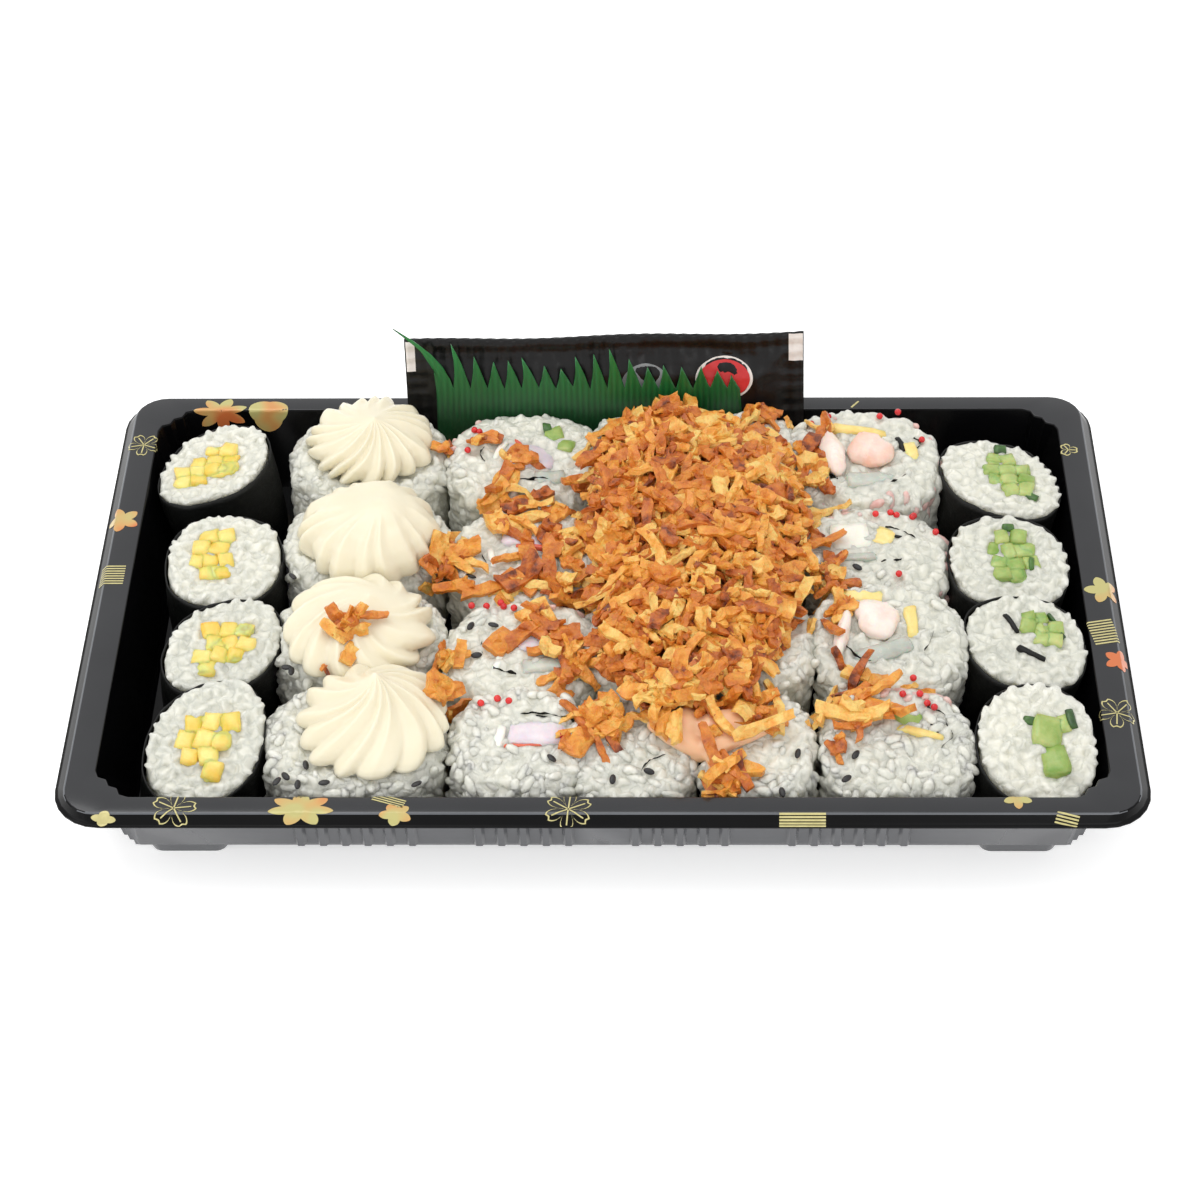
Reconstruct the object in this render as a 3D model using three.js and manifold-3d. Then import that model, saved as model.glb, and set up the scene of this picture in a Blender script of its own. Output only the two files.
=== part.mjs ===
// A takeaway sushi tray: a black formed plastic tray packed with thin rolls wrapped in seaweed,
// thick rolls with the rice outside, piped cream, a heap of fried onions, a sauce sachet and a
// strip of plastic grass. Millimetres, +Z up, origin at the bottom centre, front side at -Y.
import * as THREE from 'three';
import { mergeVertices } from 'three/addons/utils/BufferGeometryUtils.js';
import Module from 'manifold-3d';

const wasm = await Module();
wasm.setup();

const gap = 0.35; // left between pieces that touch

// The tray, by half sizes: x is half the length, y is half the width.
const rimHeight = 27;
const sheet = 0.9;
const baseHeight = 4.3; // underside of the floor, held up by the feet
const footHeight = baseHeight;
const innerRim = { x: 121.6, y: 73.7 }; // where the inside wall meets the flat rim
const crease = { x: 128.4, y: 79.1 }; // outer edge of the flat rim
const lipEdge = { x: 130.6, y: 80.6 }; // foot of the lip that turns down from the crease
const lipDrop = 3.2;
const hem = 0.6; // the lip's lowest edge turns out by this much
const wallSlope = Math.tan(THREE.MathUtils.degToRad(14));
const floorTop = baseHeight + sheet;

// Corners: a rounded outside, and a 45 degree chamfer of three flutes inside.
const cornerSteps = 6;
const creaseRadius = 8;
const lipRadius = 12;
const innerChamfer = 8.8; // at the rim
const chamferShrink = 0.75; // how much of the wall's draft the chamfer's legs lose on the way down
const fluteDepth = 0.9;
const sideStretches = [4, 2]; // the long and the short sides are cut into this many stretches

// Upright ribs pressed into the walls, in groups.
const ribPitch = 5.42;
const ribRadius = 1.5;
const ribStand = 1.1; // how far a rib stands out of the wall
const ribShift = 0.07; // keeps the ribs' flat backs off the wall's own middle plane
const ribBelowRim = 6;
const longSideRibs = [-13.5, -8.5, -5.5, -1.5, 1.5, 5.5, 8.5, 13.5]; // first and last of each group
const shortSideRibs = [-5.5, 5.5];
const foot = { x: 101.6, y: 58.2, length: 21, width: 17.6 }; // at the underside of the floor

// Rolls stand on the floor. The cut face of each one is on top: x, y and top are the middle of
// that face, w and d its width and depth, tilt how far it turns to the front in degrees, side how
// far it turns to the right, and footX and footY the place of its underside's middle. Some are
// pulled out of round: each pull is a direction in degrees and its share of the reach.
const thinRollShape = { squareness: 2.3, edge: 0.6, swell: 0.3, segments: 22 };
const thickRollShape = { squareness: 2.5, edge: 2.6, swell: 0.8, segments: 14 };

const rollTable = {
  yellow_maki: {
    shape: thinRollShape,
    rolls: [
      {
        x: -104.4, y: 50, top: 29.5, w: 26, d: 26.4, tilt: 4, side: -8, footX: -101.2, footY: 50.5,
        pulls: [[225, 0.32], [35, 0.12], [135, -0.08]],
      },
      {
        x: -98, y: 10, top: 29.5, w: 28.6, d: 28.4, tilt: 9, side: 0, footX: -98.5, footY: 12.5,
        pulls: [[45, 0.05], [135, 0.05], [225, 0.08], [315, 0.05]],
      },
      {
        x: -95, y: -22.3, top: 29.5, w: 27, d: 27.6, tilt: 9, side: 0, footX: -97, footY: -18.5,
        pulls: [[222, 0.2], [42, 0.16], [135, -0.08], [315, -0.05]],
      },
      {
        x: -96, y: -56, top: 28, w: 27.8, d: 30, tilt: 20, side: -3, footX: -99, footY: -53,
        pulls: [[55, 0.16], [210, 0.1], [130, -0.05], [315, -0.06]],
      },
    ],
  },
  cream_roll: {
    shape: thickRollShape,
    rolls: [
      { x: -62.8, y: 52, top: 30, w: 43, d: 34, tilt: 3, side: 0, footX: -62.5, footY: 51 },
      { x: -61.8, y: 16.5, top: 30.5, w: 43, d: 35, tilt: 4, side: 0, footX: -61.5, footY: 17 },
      { x: -61.2, y: -18.5, top: 30, w: 43, d: 35, tilt: 4, side: 0, footX: -60.8, footY: -17.5 },
      { x: -60, y: -54, top: 28.5, w: 45, d: 35, tilt: 8, side: 0, footX: -60, footY: -51 },
    ],
  },
  crab_roll: {
    shape: thickRollShape,
    rolls: [
      { x: -20.5, y: 48.5, top: 31, w: 44, d: 37, tilt: 3, side: 2, footX: -20, footY: 48 },
      { x: -19.5, y: 9.5, top: 30.5, w: 41, d: 37, tilt: 5, side: 0, footX: -20, footY: 13 },
      { x: -19.5, y: -25.5, top: 30.5, w: 41, d: 34, tilt: 6, side: 0, footX: -20, footY: -22 },
      { x: -19.5, y: -56, top: 29, w: 36, d: 31, tilt: 13, side: 0, footX: -20, footY: -53 },
    ],
  },
  onion_roll_left: {
    shape: thickRollShape,
    rolls: [
      { x: 9.5, y: 50, top: 32, w: 31, d: 35, tilt: 0, side: 0, footX: 9, footY: 50 },
      { x: 9.5, y: 14, top: 32, w: 31, d: 36, tilt: 0, side: 0, footX: 9, footY: 16 },
      { x: 9.5, y: -22, top: 32, w: 31, d: 35, tilt: 0, side: 0, footX: 9, footY: -19 },
      { x: 7.5, y: -57.5, top: 28.5, w: 32, d: 33, tilt: 13, side: 0, footX: 8, footY: -53.5 },
    ],
  },
  onion_roll_right: {
    shape: thickRollShape,
    rolls: [
      { x: 38, y: 50, top: 32, w: 30, d: 35, tilt: 0, side: 0, footX: 38, footY: 50 },
      { x: 38.5, y: 14, top: 32, w: 30, d: 36, tilt: 0, side: 0, footX: 38, footY: 16 },
      { x: 38.5, y: -22, top: 32, w: 30, d: 35, tilt: 0, side: 0, footX: 38, footY: -19 },
      { x: 37.3, y: -57, top: 28.5, w: 29.5, d: 33, tilt: 13, side: 0, footX: 37.5, footY: -53.5 },
    ],
  },
  shrimp_roll: {
    shape: thickRollShape,
    rolls: [
      { x: 68, y: 49, top: 31, w: 43, d: 39, tilt: 3, side: 2, footX: 67.5, footY: 48.5 },
      { x: 69.5, y: 11.5, top: 29.5, w: 40, d: 34, tilt: 6, side: 3, footX: 69, footY: 14 },
      { x: 71, y: -22, top: 31.5, w: 40, d: 37, tilt: 7, side: 2, footX: 70, footY: -18 },
      { x: 71.3, y: -56.5, top: 28.5, w: 38, d: 33, tilt: 14, side: 0, footX: 71, footY: -53 },
    ],
  },
  cucumber_maki: {
    shape: thinRollShape,
    rolls: [
      {
        x: 103.8, y: 42.9, top: 29.5, w: 28.6, d: 27.6, tilt: 3, side: 5, footX: 100.5, footY: 44,
        pulls: [[318, 0.24], [145, 0.12], [225, -0.1], [50, -0.05]],
      },
      {
        x: 103.6, y: 9, top: 29.5, w: 29.4, d: 29.4, tilt: 10, side: 0, footX: 100.2, footY: 12.5,
        pulls: [[318, 0.1], [135, 0.05]],
      },
      {
        x: 105.3, y: -21.4, top: 29.5, w: 28.8, d: 28.2, tilt: 10, side: 2, footX: 100.6, footY: -18.5,
        pulls: [[318, 0.12], [150, 0.08], [228, -0.08]],
      },
      {
        x: 104.6, y: -56, top: 28, w: 28.6, d: 30.6, tilt: 20, side: 3, footX: 100.6, footY: -53,
        pulls: [[318, 0.08], [45, 0.04], [225, -0.08], [135, -0.04]],
      },
    ],
  },
};

// Piped cream on the cream rolls: w and d are the width and depth at the foot of the swirl.
const creamShape = { lobes: 15, lobeDepth: 0.08, twist: 0.35, stepsPerLobe: 2 };
const creamTable = [
  { dx: 0, dy: 1.6, w: 33.5, d: 33, height: 10, turn: 0.2 },
  { dx: 1, dy: -1.6, w: 36.6, d: 34.4, height: 12.5, turn: 0.9 },
  { dx: 0.2, dy: -1, w: 38, d: 34, height: 10.5, turn: 1.7 },
  { dx: 4.2, dy: 2, w: 38.4, d: 34, height: 13.5, turn: 2.6 },
];
const creamRings = [
  { rise: 0, reach: 0.93, ridge: 0.7 },
  { rise: 0.16, reach: 1, ridge: 1 },
  { rise: 0.4, reach: 0.84, ridge: 1.2 },
  { rise: 0.66, reach: 0.52, ridge: 1.2 },
  { rise: 0.88, reach: 0.2, ridge: 0.8 },
  { rise: 1, reach: 0.05, ridge: 0 },
];

// The heap of fried onions over the two middle columns of rolls.
const heap = { x: 23, y: 8, halfX: 27, halfY: 56, height: 10.5, bottom: 32.4, segments: 32 };
const heapRings = [
  { rise: 0, reach: 0.94 },
  { rise: 0.3, reach: 1 },
  { rise: 0.62, reach: 0.88 },
  { rise: 0.88, reach: 0.62 },
  { rise: 1, reach: 0.3 },
];

// The blob of spiced mayonnaise at the front end of the heap, lying on two tilted rolls.
const mayo = { x: 25, y: -57, halfX: 16, halfY: 7.5, height: 5, lift: 29.6, tilt: 13, segments: 20 };

// The sachet leans back against the back wall, turned a little in its own plane, in degrees. Its
// plane is width by height, with seals at the edges.
const sachet = {
  width: 107.5, height: 39.5, bottom: 11, seal: 6, sealThickness: 0.7, puff: 4, turn: 1.2,
};
const wallLean = Math.atan(wallSlope);

// The strip of plastic grass in front of the sachet: one tip height for each blade.
const grass = { left: -46, bladeWidth: 4.62, bottom: 14, valley: 35.5, thickness: 0.5 };
const bladeTips = [
  53, 47.5, 44.5, 43, 43, 43.5, 41.5, 40.5, 43.5, 44.5, 46, 43, 40.5, 41, 40.5, 41, 39.5, 38.5,
];

// ---------------------------------------------------------------- shared geometry

// A closed body through rings of equally many points, each ring counter-clockwise from above.
function loft(rings) {
  const count = rings[0].length;
  const positions = rings.flat().flatMap((p) => [p.x, p.y, p.z]);
  const index = [];
  for (let r = 0; r < rings.length - 1; r++) {
    for (let i = 0; i < count; i++) {
      const a = r * count + i;
      const b = r * count + ((i + 1) % count);
      index.push(a, b, b + count, a, b + count, a + count);
    }
  }
  const capCentre = (ring) => {
    const centre = ring.reduce((sum, p) => sum.add(p), new THREE.Vector3()).divideScalar(count);
    positions.push(centre.x, centre.y, centre.z);
    return positions.length / 3 - 1;
  };
  const bottom = capCentre(rings[0]);
  const top = capCentre(rings[rings.length - 1]);
  const last = (rings.length - 1) * count;
  for (let i = 0; i < count; i++) {
    const next = (i + 1) % count;
    index.push(bottom, next, i);
    index.push(top, last + i, last + next);
  }
  const geometry = new THREE.BufferGeometry();
  geometry.setAttribute('position', new THREE.Float32BufferAttribute(positions, 3));
  geometry.setIndex(index);
  return geometry;
}

function toSolid(geometry) {
  const bare = geometry.clone();
  bare.deleteAttribute('normal');
  bare.deleteAttribute('uv');
  const merged = mergeVertices(bare, 1e-4);
  return new wasm.Manifold(new wasm.Mesh({
    numProp: 3,
    vertProperties: new Float32Array(merged.attributes.position.array),
    triVerts: new Uint32Array(merged.index.array),
  }));
}

function toGeometry(solid) {
  const mesh = solid.getMesh();
  const geometry = new THREE.BufferGeometry();
  geometry.setAttribute('position', new THREE.Float32BufferAttribute(mesh.vertProperties, 3));
  geometry.setIndex(Array.from(mesh.triVerts));
  return geometry;
}

// ---------------------------------------------------------------- the tray

// One ring round the tray at a height. Each corner has the same count of points, set by a
// function of the way round the corner from 0 to 1 that gives the point in the first quarter,
// and the straight side after it is cut into stretches.
function trayRing(half, z, corner, stretches = [1, 1]) {
  const corners = [0, 1, 2, 3].map((quarter) => {
    const swapped = quarter % 2 === 1;
    const u = swapped ? half.y : half.x;
    const v = swapped ? half.x : half.y;
    const points = [];
    for (let step = 0; step <= cornerSteps; step++) {
      const p = corner(u, v, step / cornerSteps);
      p.applyAxisAngle(new THREE.Vector3(0, 0, 1), (quarter * Math.PI) / 2);
      p.z = z;
      points.push(p);
    }
    return points;
  });
  return corners.flatMap((points, quarter) => {
    const from = points[cornerSteps];
    const to = corners[(quarter + 1) % 4][0];
    const count = stretches[quarter % 2];
    const along = [];
    for (let i = 1; i < count; i++) {
      along.push(from.clone().lerp(to, i / count));
    }
    return [...points, ...along];
  });
}

function roundCorner(radius) {
  return (u, v, t) => {
    const angle = (t * Math.PI) / 2;
    const x = u - radius + radius * Math.cos(angle);
    const y = v - radius + radius * Math.sin(angle);
    return new THREE.Vector3(x, y, 0);
  };
}

function flutedCorner(leg, depth) {
  return (u, v, t) => {
    const outward = (depth * Math.abs(Math.sin(3 * Math.PI * t))) / Math.SQRT2;
    return new THREE.Vector3(u - leg * t + outward, v - leg * (1 - t) + outward, 0);
  };
}

const inset = (half, by) => ({ x: half.x - by, y: half.y - by });

// The ring of the inside wall at a height, moved in by a distance.
function wallRing(z, by) {
  const draft = (rimHeight - z) * wallSlope;
  const leg = innerChamfer - draft * chamferShrink;
  return trayRing(inset(innerRim, draft + by), z, flutedCorner(leg, fluteDepth), sideStretches);
}

function traySolid() {
  const underRim = rimHeight - sheet;
  const lipFoot = rimHeight - lipDrop;
  const baseBend = 1.4; // height of the rounding between wall and floor
  const rimRing = (half, z, radius) => trayRing(half, z, roundCorner(radius), sideStretches);
  return toSolid(loft([
    wallRing(baseHeight, 0.3),
    wallRing(baseHeight + baseBend, -sheet),
    wallRing(underRim, -sheet),
    rimRing(inset(crease, sheet * 0.6), underRim, creaseRadius),
    rimRing(inset(lipEdge, sheet), lipFoot, lipRadius),
    rimRing(inset(lipEdge, -hem), lipFoot, lipRadius),
    rimRing(inset(lipEdge, -hem), lipFoot + sheet * 0.6, lipRadius),
    rimRing(lipEdge, lipFoot + sheet * 0.8, lipRadius),
    rimRing(crease, rimHeight, creaseRadius),
    wallRing(rimHeight, 0),
    wallRing(floorTop + baseBend, 0),
    wallRing(floorTop, 1.1),
  ]));
}

// An upright rib, drawn at the origin on a wall that faces +Y and leans out by the wall's slope.
function ribGeometry() {
  const profile = new THREE.Shape();
  const facets = 3;
  for (let i = 0; i <= facets; i++) {
    const angle = (i / facets) * Math.PI;
    profile.lineTo(ribRadius * Math.cos(angle), ribStand * Math.sin(angle));
  }
  profile.lineTo(-ribRadius, -sheet * 0.5);
  profile.lineTo(ribRadius, -sheet * 0.5);
  const low = baseHeight + 2.5;
  const length = (rimHeight - ribBelowRim - low) / Math.cos(wallLean);
  const rib = new THREE.ExtrudeGeometry(profile, { depth: length, bevelEnabled: false });
  rib.rotateX(-wallLean);
  rib.translate(0, -(rimHeight - low) * wallSlope + sheet, low);
  return rib;
}

// The places of the ribs of one side, from pairs of first and last numbers of each group.
function ribPlaces(groups) {
  const places = [];
  for (let g = 0; g < groups.length; g += 2) {
    for (let number = groups[g]; number <= groups[g + 1]; number++) {
      places.push(number * ribPitch);
    }
  }
  return places;
}

function addRibs(body) {
  const rib = ribGeometry();
  const sides = [
    { turn: 0, out: innerRim.y + ribShift, groups: longSideRibs },
    { turn: Math.PI, out: innerRim.y + ribShift, groups: longSideRibs },
    { turn: Math.PI / 2, out: innerRim.x + ribShift, groups: shortSideRibs },
    { turn: -Math.PI / 2, out: innerRim.x + ribShift, groups: shortSideRibs },
  ];
  let ribbed = body;
  for (const side of sides) {
    for (const place of ribPlaces(side.groups)) {
      const placed = rib.clone().translate(place, side.out, 0).rotateZ(side.turn);
      ribbed = ribbed.add(toSolid(placed));
    }
  }
  return ribbed;
}

function footSolid(signX, signY) {
  const topHalf = { x: foot.length / 2, y: foot.width / 2 };
  const rings = [0, footHeight + sheet * 0.5].map((z) => {
    const half = inset(topHalf, (footHeight - z) * wallSlope);
    return trayRing(half, z, roundCorner(3));
  });
  const body = loft(rings);
  body.translate(signX * foot.x, signY * foot.y, 0);
  return toSolid(body);
}

function makeTray() {
  let body = addRibs(traySolid());
  for (const signX of [-1, 1]) {
    for (const signY of [-1, 1]) {
      body = body.add(footSolid(signX, signY));
    }
  }
  return toGeometry(body);
}

// The room inside the tray for rolls, carried up above the rim, less the pocket along the back
// wall where the sachet and the grass stand.
function trayRoom() {
  const above = 60;
  const depth = sachet.puff + 3 * gap + 2 * grass.thickness;
  const below = 2; // the pocket reaches this far under the sachet
  const pocket = new THREE.BoxGeometry(sachet.width + 2 * gap, above, 2 * depth);
  pocket.translate(0, above / 2 - below, 0);
  pocket.rotateZ(THREE.MathUtils.degToRad(sachet.turn));
  return toSolid(loft([wallRing(floorTop + gap, gap + 0.8), wallRing(above, gap)]))
    .subtract(toSolid(standUp(pocket, 0)));
}

// ---------------------------------------------------------------- the rolls

// A rounded outline between an ellipse and a rectangle, as unit steps round it.
function outline(squareness, segments, pulls = []) {
  const points = [];
  for (let i = 0; i < segments; i++) {
    const angle = (2 * Math.PI * i) / segments;
    const c = Math.cos(angle);
    const s = Math.sin(angle);
    let reach = (Math.abs(c) ** squareness + Math.abs(s) ** squareness) ** (-1 / squareness);
    for (const [direction, share] of pulls) {
      const near = (1 + Math.cos(angle - THREE.MathUtils.degToRad(direction))) / 2;
      reach *= 1 + share * near ** 7;
    }
    points.push(new THREE.Vector2(c * reach, s * reach));
  }
  return points;
}

function rollGeometry(roll, shape, grow) {
  const unit = outline(shape.squareness, shape.segments, roll.pulls);
  const low = floorTop + gap;
  const tilt = Math.tan(THREE.MathUtils.degToRad(roll.tilt));
  const side = -Math.tan(THREE.MathUtils.degToRad(roll.side));
  const { edge, swell } = shape;
  const levels = [
    { share: 0, down: 0, out: 0 },
    { share: 0.5, down: 0, out: swell },
    { share: 1, down: edge, out: 0 },
    { share: 1, down: 0, out: -edge },
  ];
  return loft(levels.map(({ share, down, out }) => unit.map((p) => {
    const reachX = p.x * (roll.w / 2 + out + grow);
    const reachY = p.y * (roll.d / 2 + out + grow);
    const top = roll.top + reachY * tilt + reachX * side;
    const z = THREE.MathUtils.lerp(low, top, share) - down;
    return new THREE.Vector3(
      THREE.MathUtils.lerp(roll.footX, roll.x, share) + reachX,
      THREE.MathUtils.lerp(roll.footY, roll.y, share) + reachY,
      z,
    );
  })));
}

// Every roll as a solid, pressed against the walls and against the rolls placed before it.
function makeRolls() {
  const room = trayRoom();
  const placed = [];
  for (const [kind, { shape, rolls }] of Object.entries(rollTable)) {
    rolls.forEach((roll, i) => {
      let solid = toSolid(rollGeometry(roll, shape, 0)).intersect(room);
      for (const other of placed) {
        const near = Math.hypot(other.roll.x - roll.x, other.roll.y - roll.y) < 60;
        if (near) {
          solid = solid.subtract(toSolid(rollGeometry(other.roll, other.shape, gap)));
        }
      }
      placed.push({ name: `${kind}_${i + 1}`, kind, roll, shape, solid });
    });
  }
  return placed;
}

// ---------------------------------------------------------------- what lies on the rolls

// The swirl of piped cream, standing on the plane of its roll's cut face.
function creamGeometry(cream, roll, grow) {
  const { lobes, lobeDepth, twist, stepsPerLobe } = creamShape;
  const steps = lobes * stepsPerLobe;
  const swirl = loft(creamRings.map(({ rise, reach, ridge }) => {
    const ring = [];
    for (let i = 0; i < steps; i++) {
      const angle = (2 * Math.PI * i) / steps;
      const around = 1 + lobeDepth * ridge * Math.cos(lobes * angle);
      const turned = angle + cream.turn + twist * rise;
      ring.push(new THREE.Vector3(
        (cream.w / 2 + grow) * reach * around * Math.cos(turned),
        (cream.d / 2 + grow) * reach * around * Math.sin(turned),
        cream.height * rise,
      ));
    }
    return ring;
  }));
  swirl.rotateX(THREE.MathUtils.degToRad(roll.tilt));
  swirl.rotateY(THREE.MathUtils.degToRad(roll.side));
  const lift = cream.dy * Math.tan(THREE.MathUtils.degToRad(roll.tilt));
  swirl.translate(roll.x + cream.dx, roll.y + cream.dy, roll.top + lift + gap);
  return swirl;
}

function makeCream(placedRolls) {
  const bases = placedRolls.filter((placed) => placed.kind === 'cream_roll');
  const swirls = [];
  creamTable.forEach((cream, i) => {
    let solid = toSolid(creamGeometry(cream, bases[i].roll, 0));
    if (i > 0) {
      solid = solid.subtract(toSolid(creamGeometry(creamTable[i - 1], bases[i - 1].roll, gap)));
    }
    for (const { roll, shape } of bases) {
      solid = solid.subtract(toSolid(rollGeometry(roll, shape, gap)));
    }
    swirls.push({ name: `cream_swirl_${i + 1}`, solid });
  });
  return swirls;
}

// A slow unevenness round and along a heap, from a few waves.
function unevenness(angle, rise) {
  return 0.06 * Math.sin(3 * angle + 1) + 0.045 * Math.sin(7 * angle + 9 * rise);
}

function makeHeap() {
  const unit = outline(2.8, heap.segments);
  return loft(heapRings.map(({ rise, reach }) => unit.map((p) => {
    const angle = Math.atan2(p.y, p.x);
    const out = reach * (1 + unevenness(angle, rise));
    const bump = rise > 0 ? 0.8 * Math.sin(5 * angle + 7 * reach) * rise : 0;
    return new THREE.Vector3(
      heap.x + p.x * heap.halfX * out,
      heap.y + p.y * heap.halfY * out,
      heap.bottom + heap.height * rise + bump,
    );
  })));
}

function makeMayo() {
  const rings = [
    { rise: 0, reach: 0.94 },
    { rise: 0.45, reach: 1 },
    { rise: 0.85, reach: 0.72 },
    { rise: 1, reach: 0.35 },
  ];
  const unit = outline(2.1, mayo.segments);
  const blob = loft(rings.map(({ rise, reach }) => unit.map((p) => {
    const out = reach * (1 + 0.12 * Math.sin(3 * Math.atan2(p.y, p.x) + 2));
    return new THREE.Vector3(p.x * mayo.halfX * out, p.y * mayo.halfY * out, mayo.height * rise);
  })));
  blob.rotateX(THREE.MathUtils.degToRad(mayo.tilt));
  blob.translate(mayo.x, mayo.y, mayo.lift);
  return blob;
}

// ---------------------------------------------------------------- sachet and grass

// Drawn lying flat with its width along X and its height along Y, then stood up and leaned back.
function standUp(geometry, backGap) {
  geometry.rotateX(Math.PI / 2 - wallLean);
  const backAtBottom = innerRim.y - (rimHeight - sachet.bottom) * wallSlope - backGap;
  geometry.translate(0, backAtBottom, sachet.bottom);
  return geometry;
}

function makeSachet() {
  const flat = { x: sachet.width / 2, y: sachet.height / 2 };
  const edge = sachet.sealThickness / 2;
  const layers = [
    { by: 13, z: -sachet.puff * 0.4 },
    { by: sachet.seal, z: -edge },
    { by: 0, z: -edge },
    { by: 0, z: edge },
    { by: sachet.seal, z: edge },
    { by: 13, z: sachet.puff * 0.6 },
  ];
  const body = loft(layers.map(({ by, z }) => {
    return trayRing(inset(flat, by), z, roundCorner(0.5 + by * 0.3));
  }));
  body.translate(0, flat.y, 0);
  body.rotateZ(THREE.MathUtils.degToRad(sachet.turn));
  return standUp(body, sachet.puff * 0.4 + gap);
}

function makeGrass() {
  const along = 1 / Math.cos(wallLean);
  const up = (z) => (z - sachet.bottom) * along;
  const strip = new THREE.Shape();
  strip.moveTo(grass.left, up(grass.bottom));
  bladeTips.forEach((tip, i) => {
    const start = grass.left + i * grass.bladeWidth;
    strip.lineTo(start, up(grass.valley));
    strip.lineTo(start + grass.bladeWidth * 0.3, up(grass.valley + (tip - grass.valley) * 0.6));
    strip.lineTo(start + grass.bladeWidth * 0.42, up(tip));
    strip.lineTo(start + grass.bladeWidth * 0.66, up(grass.valley + (tip - grass.valley) * 0.5));
  });
  const right = grass.left + bladeTips.length * grass.bladeWidth;
  strip.lineTo(right, up(grass.valley));
  strip.lineTo(right, up(grass.bottom));
  const sheetOfGrass = new THREE.ExtrudeGeometry(strip, { depth: grass.thickness, bevelEnabled: false });
  return standUp(sheetOfGrass, sachet.puff + 2 * gap + grass.thickness);
}

// ---------------------------------------------------------------- the whole object

const finishes = {
  tray: { color: 0x0b0b0c, roughness: 0.18, metalness: 0 },
  yellow_maki: { color: 0xe9e8dc, roughness: 0.4, metalness: 0 },
  cream_roll: { color: 0xe6e9e6, roughness: 0.4, metalness: 0 },
  crab_roll: { color: 0xe8e4e2, roughness: 0.4, metalness: 0 },
  onion_roll_left: { color: 0xe6e9e6, roughness: 0.4, metalness: 0 },
  onion_roll_right: { color: 0xe6e9e6, roughness: 0.4, metalness: 0 },
  shrimp_roll: { color: 0xe9dedc, roughness: 0.4, metalness: 0 },
  cucumber_maki: { color: 0xdfe8d6, roughness: 0.4, metalness: 0 },
  cream_swirl: { color: 0xfdf8e6, roughness: 0.35, metalness: 0 },
  fried_onions: { color: 0xc98a3c, roughness: 0.45, metalness: 0 },
  mayo: { color: 0xf6cfa0, roughness: 0.3, metalness: 0 },
  sachet: { color: 0x121112, roughness: 0.2, metalness: 0 },
  plastic_grass: { color: 0x12753a, roughness: 0.3, metalness: 0 },
};

const sushiTray = new THREE.Group();

function addPiece(name, geometry, finish) {
  geometry.computeVertexNormals();
  const mesh = new THREE.Mesh(geometry, new THREE.MeshStandardMaterial(finishes[finish]));
  mesh.name = name;
  sushiTray.add(mesh);
}

addPiece('tray', makeTray(), 'tray');
const sachetGeometry = makeSachet();
const grassGeometry = makeGrass();
const placedRolls = makeRolls();
for (const { name, kind, solid } of placedRolls) {
  addPiece(name, toGeometry(solid), kind);
}
for (const { name, solid } of makeCream(placedRolls)) {
  addPiece(name, toGeometry(solid), 'cream_swirl');
}
addPiece('fried_onions', makeHeap(), 'fried_onions');
addPiece('mayo', makeMayo(), 'mayo');
addPiece('sachet', sachetGeometry, 'sachet');
addPiece('plastic_grass', grassGeometry, 'plastic_grass');

export default sushiTray;
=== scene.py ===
import math
import random

import bmesh
import bpy
from mathutils import Matrix, Vector, noise
from mathutils.bvhtree import BVHTree


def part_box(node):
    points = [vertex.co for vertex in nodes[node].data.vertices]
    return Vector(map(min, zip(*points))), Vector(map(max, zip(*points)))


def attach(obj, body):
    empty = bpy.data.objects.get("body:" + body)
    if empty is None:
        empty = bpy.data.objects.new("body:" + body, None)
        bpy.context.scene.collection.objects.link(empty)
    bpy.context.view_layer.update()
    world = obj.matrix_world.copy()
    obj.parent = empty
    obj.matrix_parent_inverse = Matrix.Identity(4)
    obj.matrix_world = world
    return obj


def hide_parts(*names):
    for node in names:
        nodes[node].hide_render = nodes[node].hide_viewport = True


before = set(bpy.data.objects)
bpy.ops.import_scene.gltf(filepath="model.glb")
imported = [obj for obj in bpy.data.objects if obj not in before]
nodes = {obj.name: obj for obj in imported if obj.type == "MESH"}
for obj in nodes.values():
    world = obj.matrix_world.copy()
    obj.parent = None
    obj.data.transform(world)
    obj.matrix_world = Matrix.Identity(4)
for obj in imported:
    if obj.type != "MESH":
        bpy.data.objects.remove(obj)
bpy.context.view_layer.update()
random.seed(28)
noise.seed_set(28)  # left alone, noise_vector takes its seed from the clock
mm = 0.001
scene = bpy.context.scene
columns = ["yellow_maki", "cream_roll", "crab_roll", "onion_roll_left", "onion_roll_right",
           "shrimp_roll", "cucumber_maki"]
print("frame loaded:", len(nodes), "nodes")


# shader kit: sums on a Wire add Math nodes
class Wire:
    def __init__(self, finish, socket):
        self.finish = finish
        self.socket = socket

    def maths(self, operation, first, second):
        return self.finish.node("ShaderNodeMath", {"operation": operation}, {0: first, 1: second})

    def __add__(self, other):
        return self.maths("ADD", self, other)

    def __radd__(self, other):
        return self.maths("ADD", other, self)

    def __sub__(self, other):
        return self.maths("SUBTRACT", self, other)

    def __rsub__(self, other):
        return self.maths("SUBTRACT", other, self)

    def __mul__(self, other):
        return self.maths("MULTIPLY", self, other)

    def __rmul__(self, other):
        return self.maths("MULTIPLY", other, self)


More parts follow.
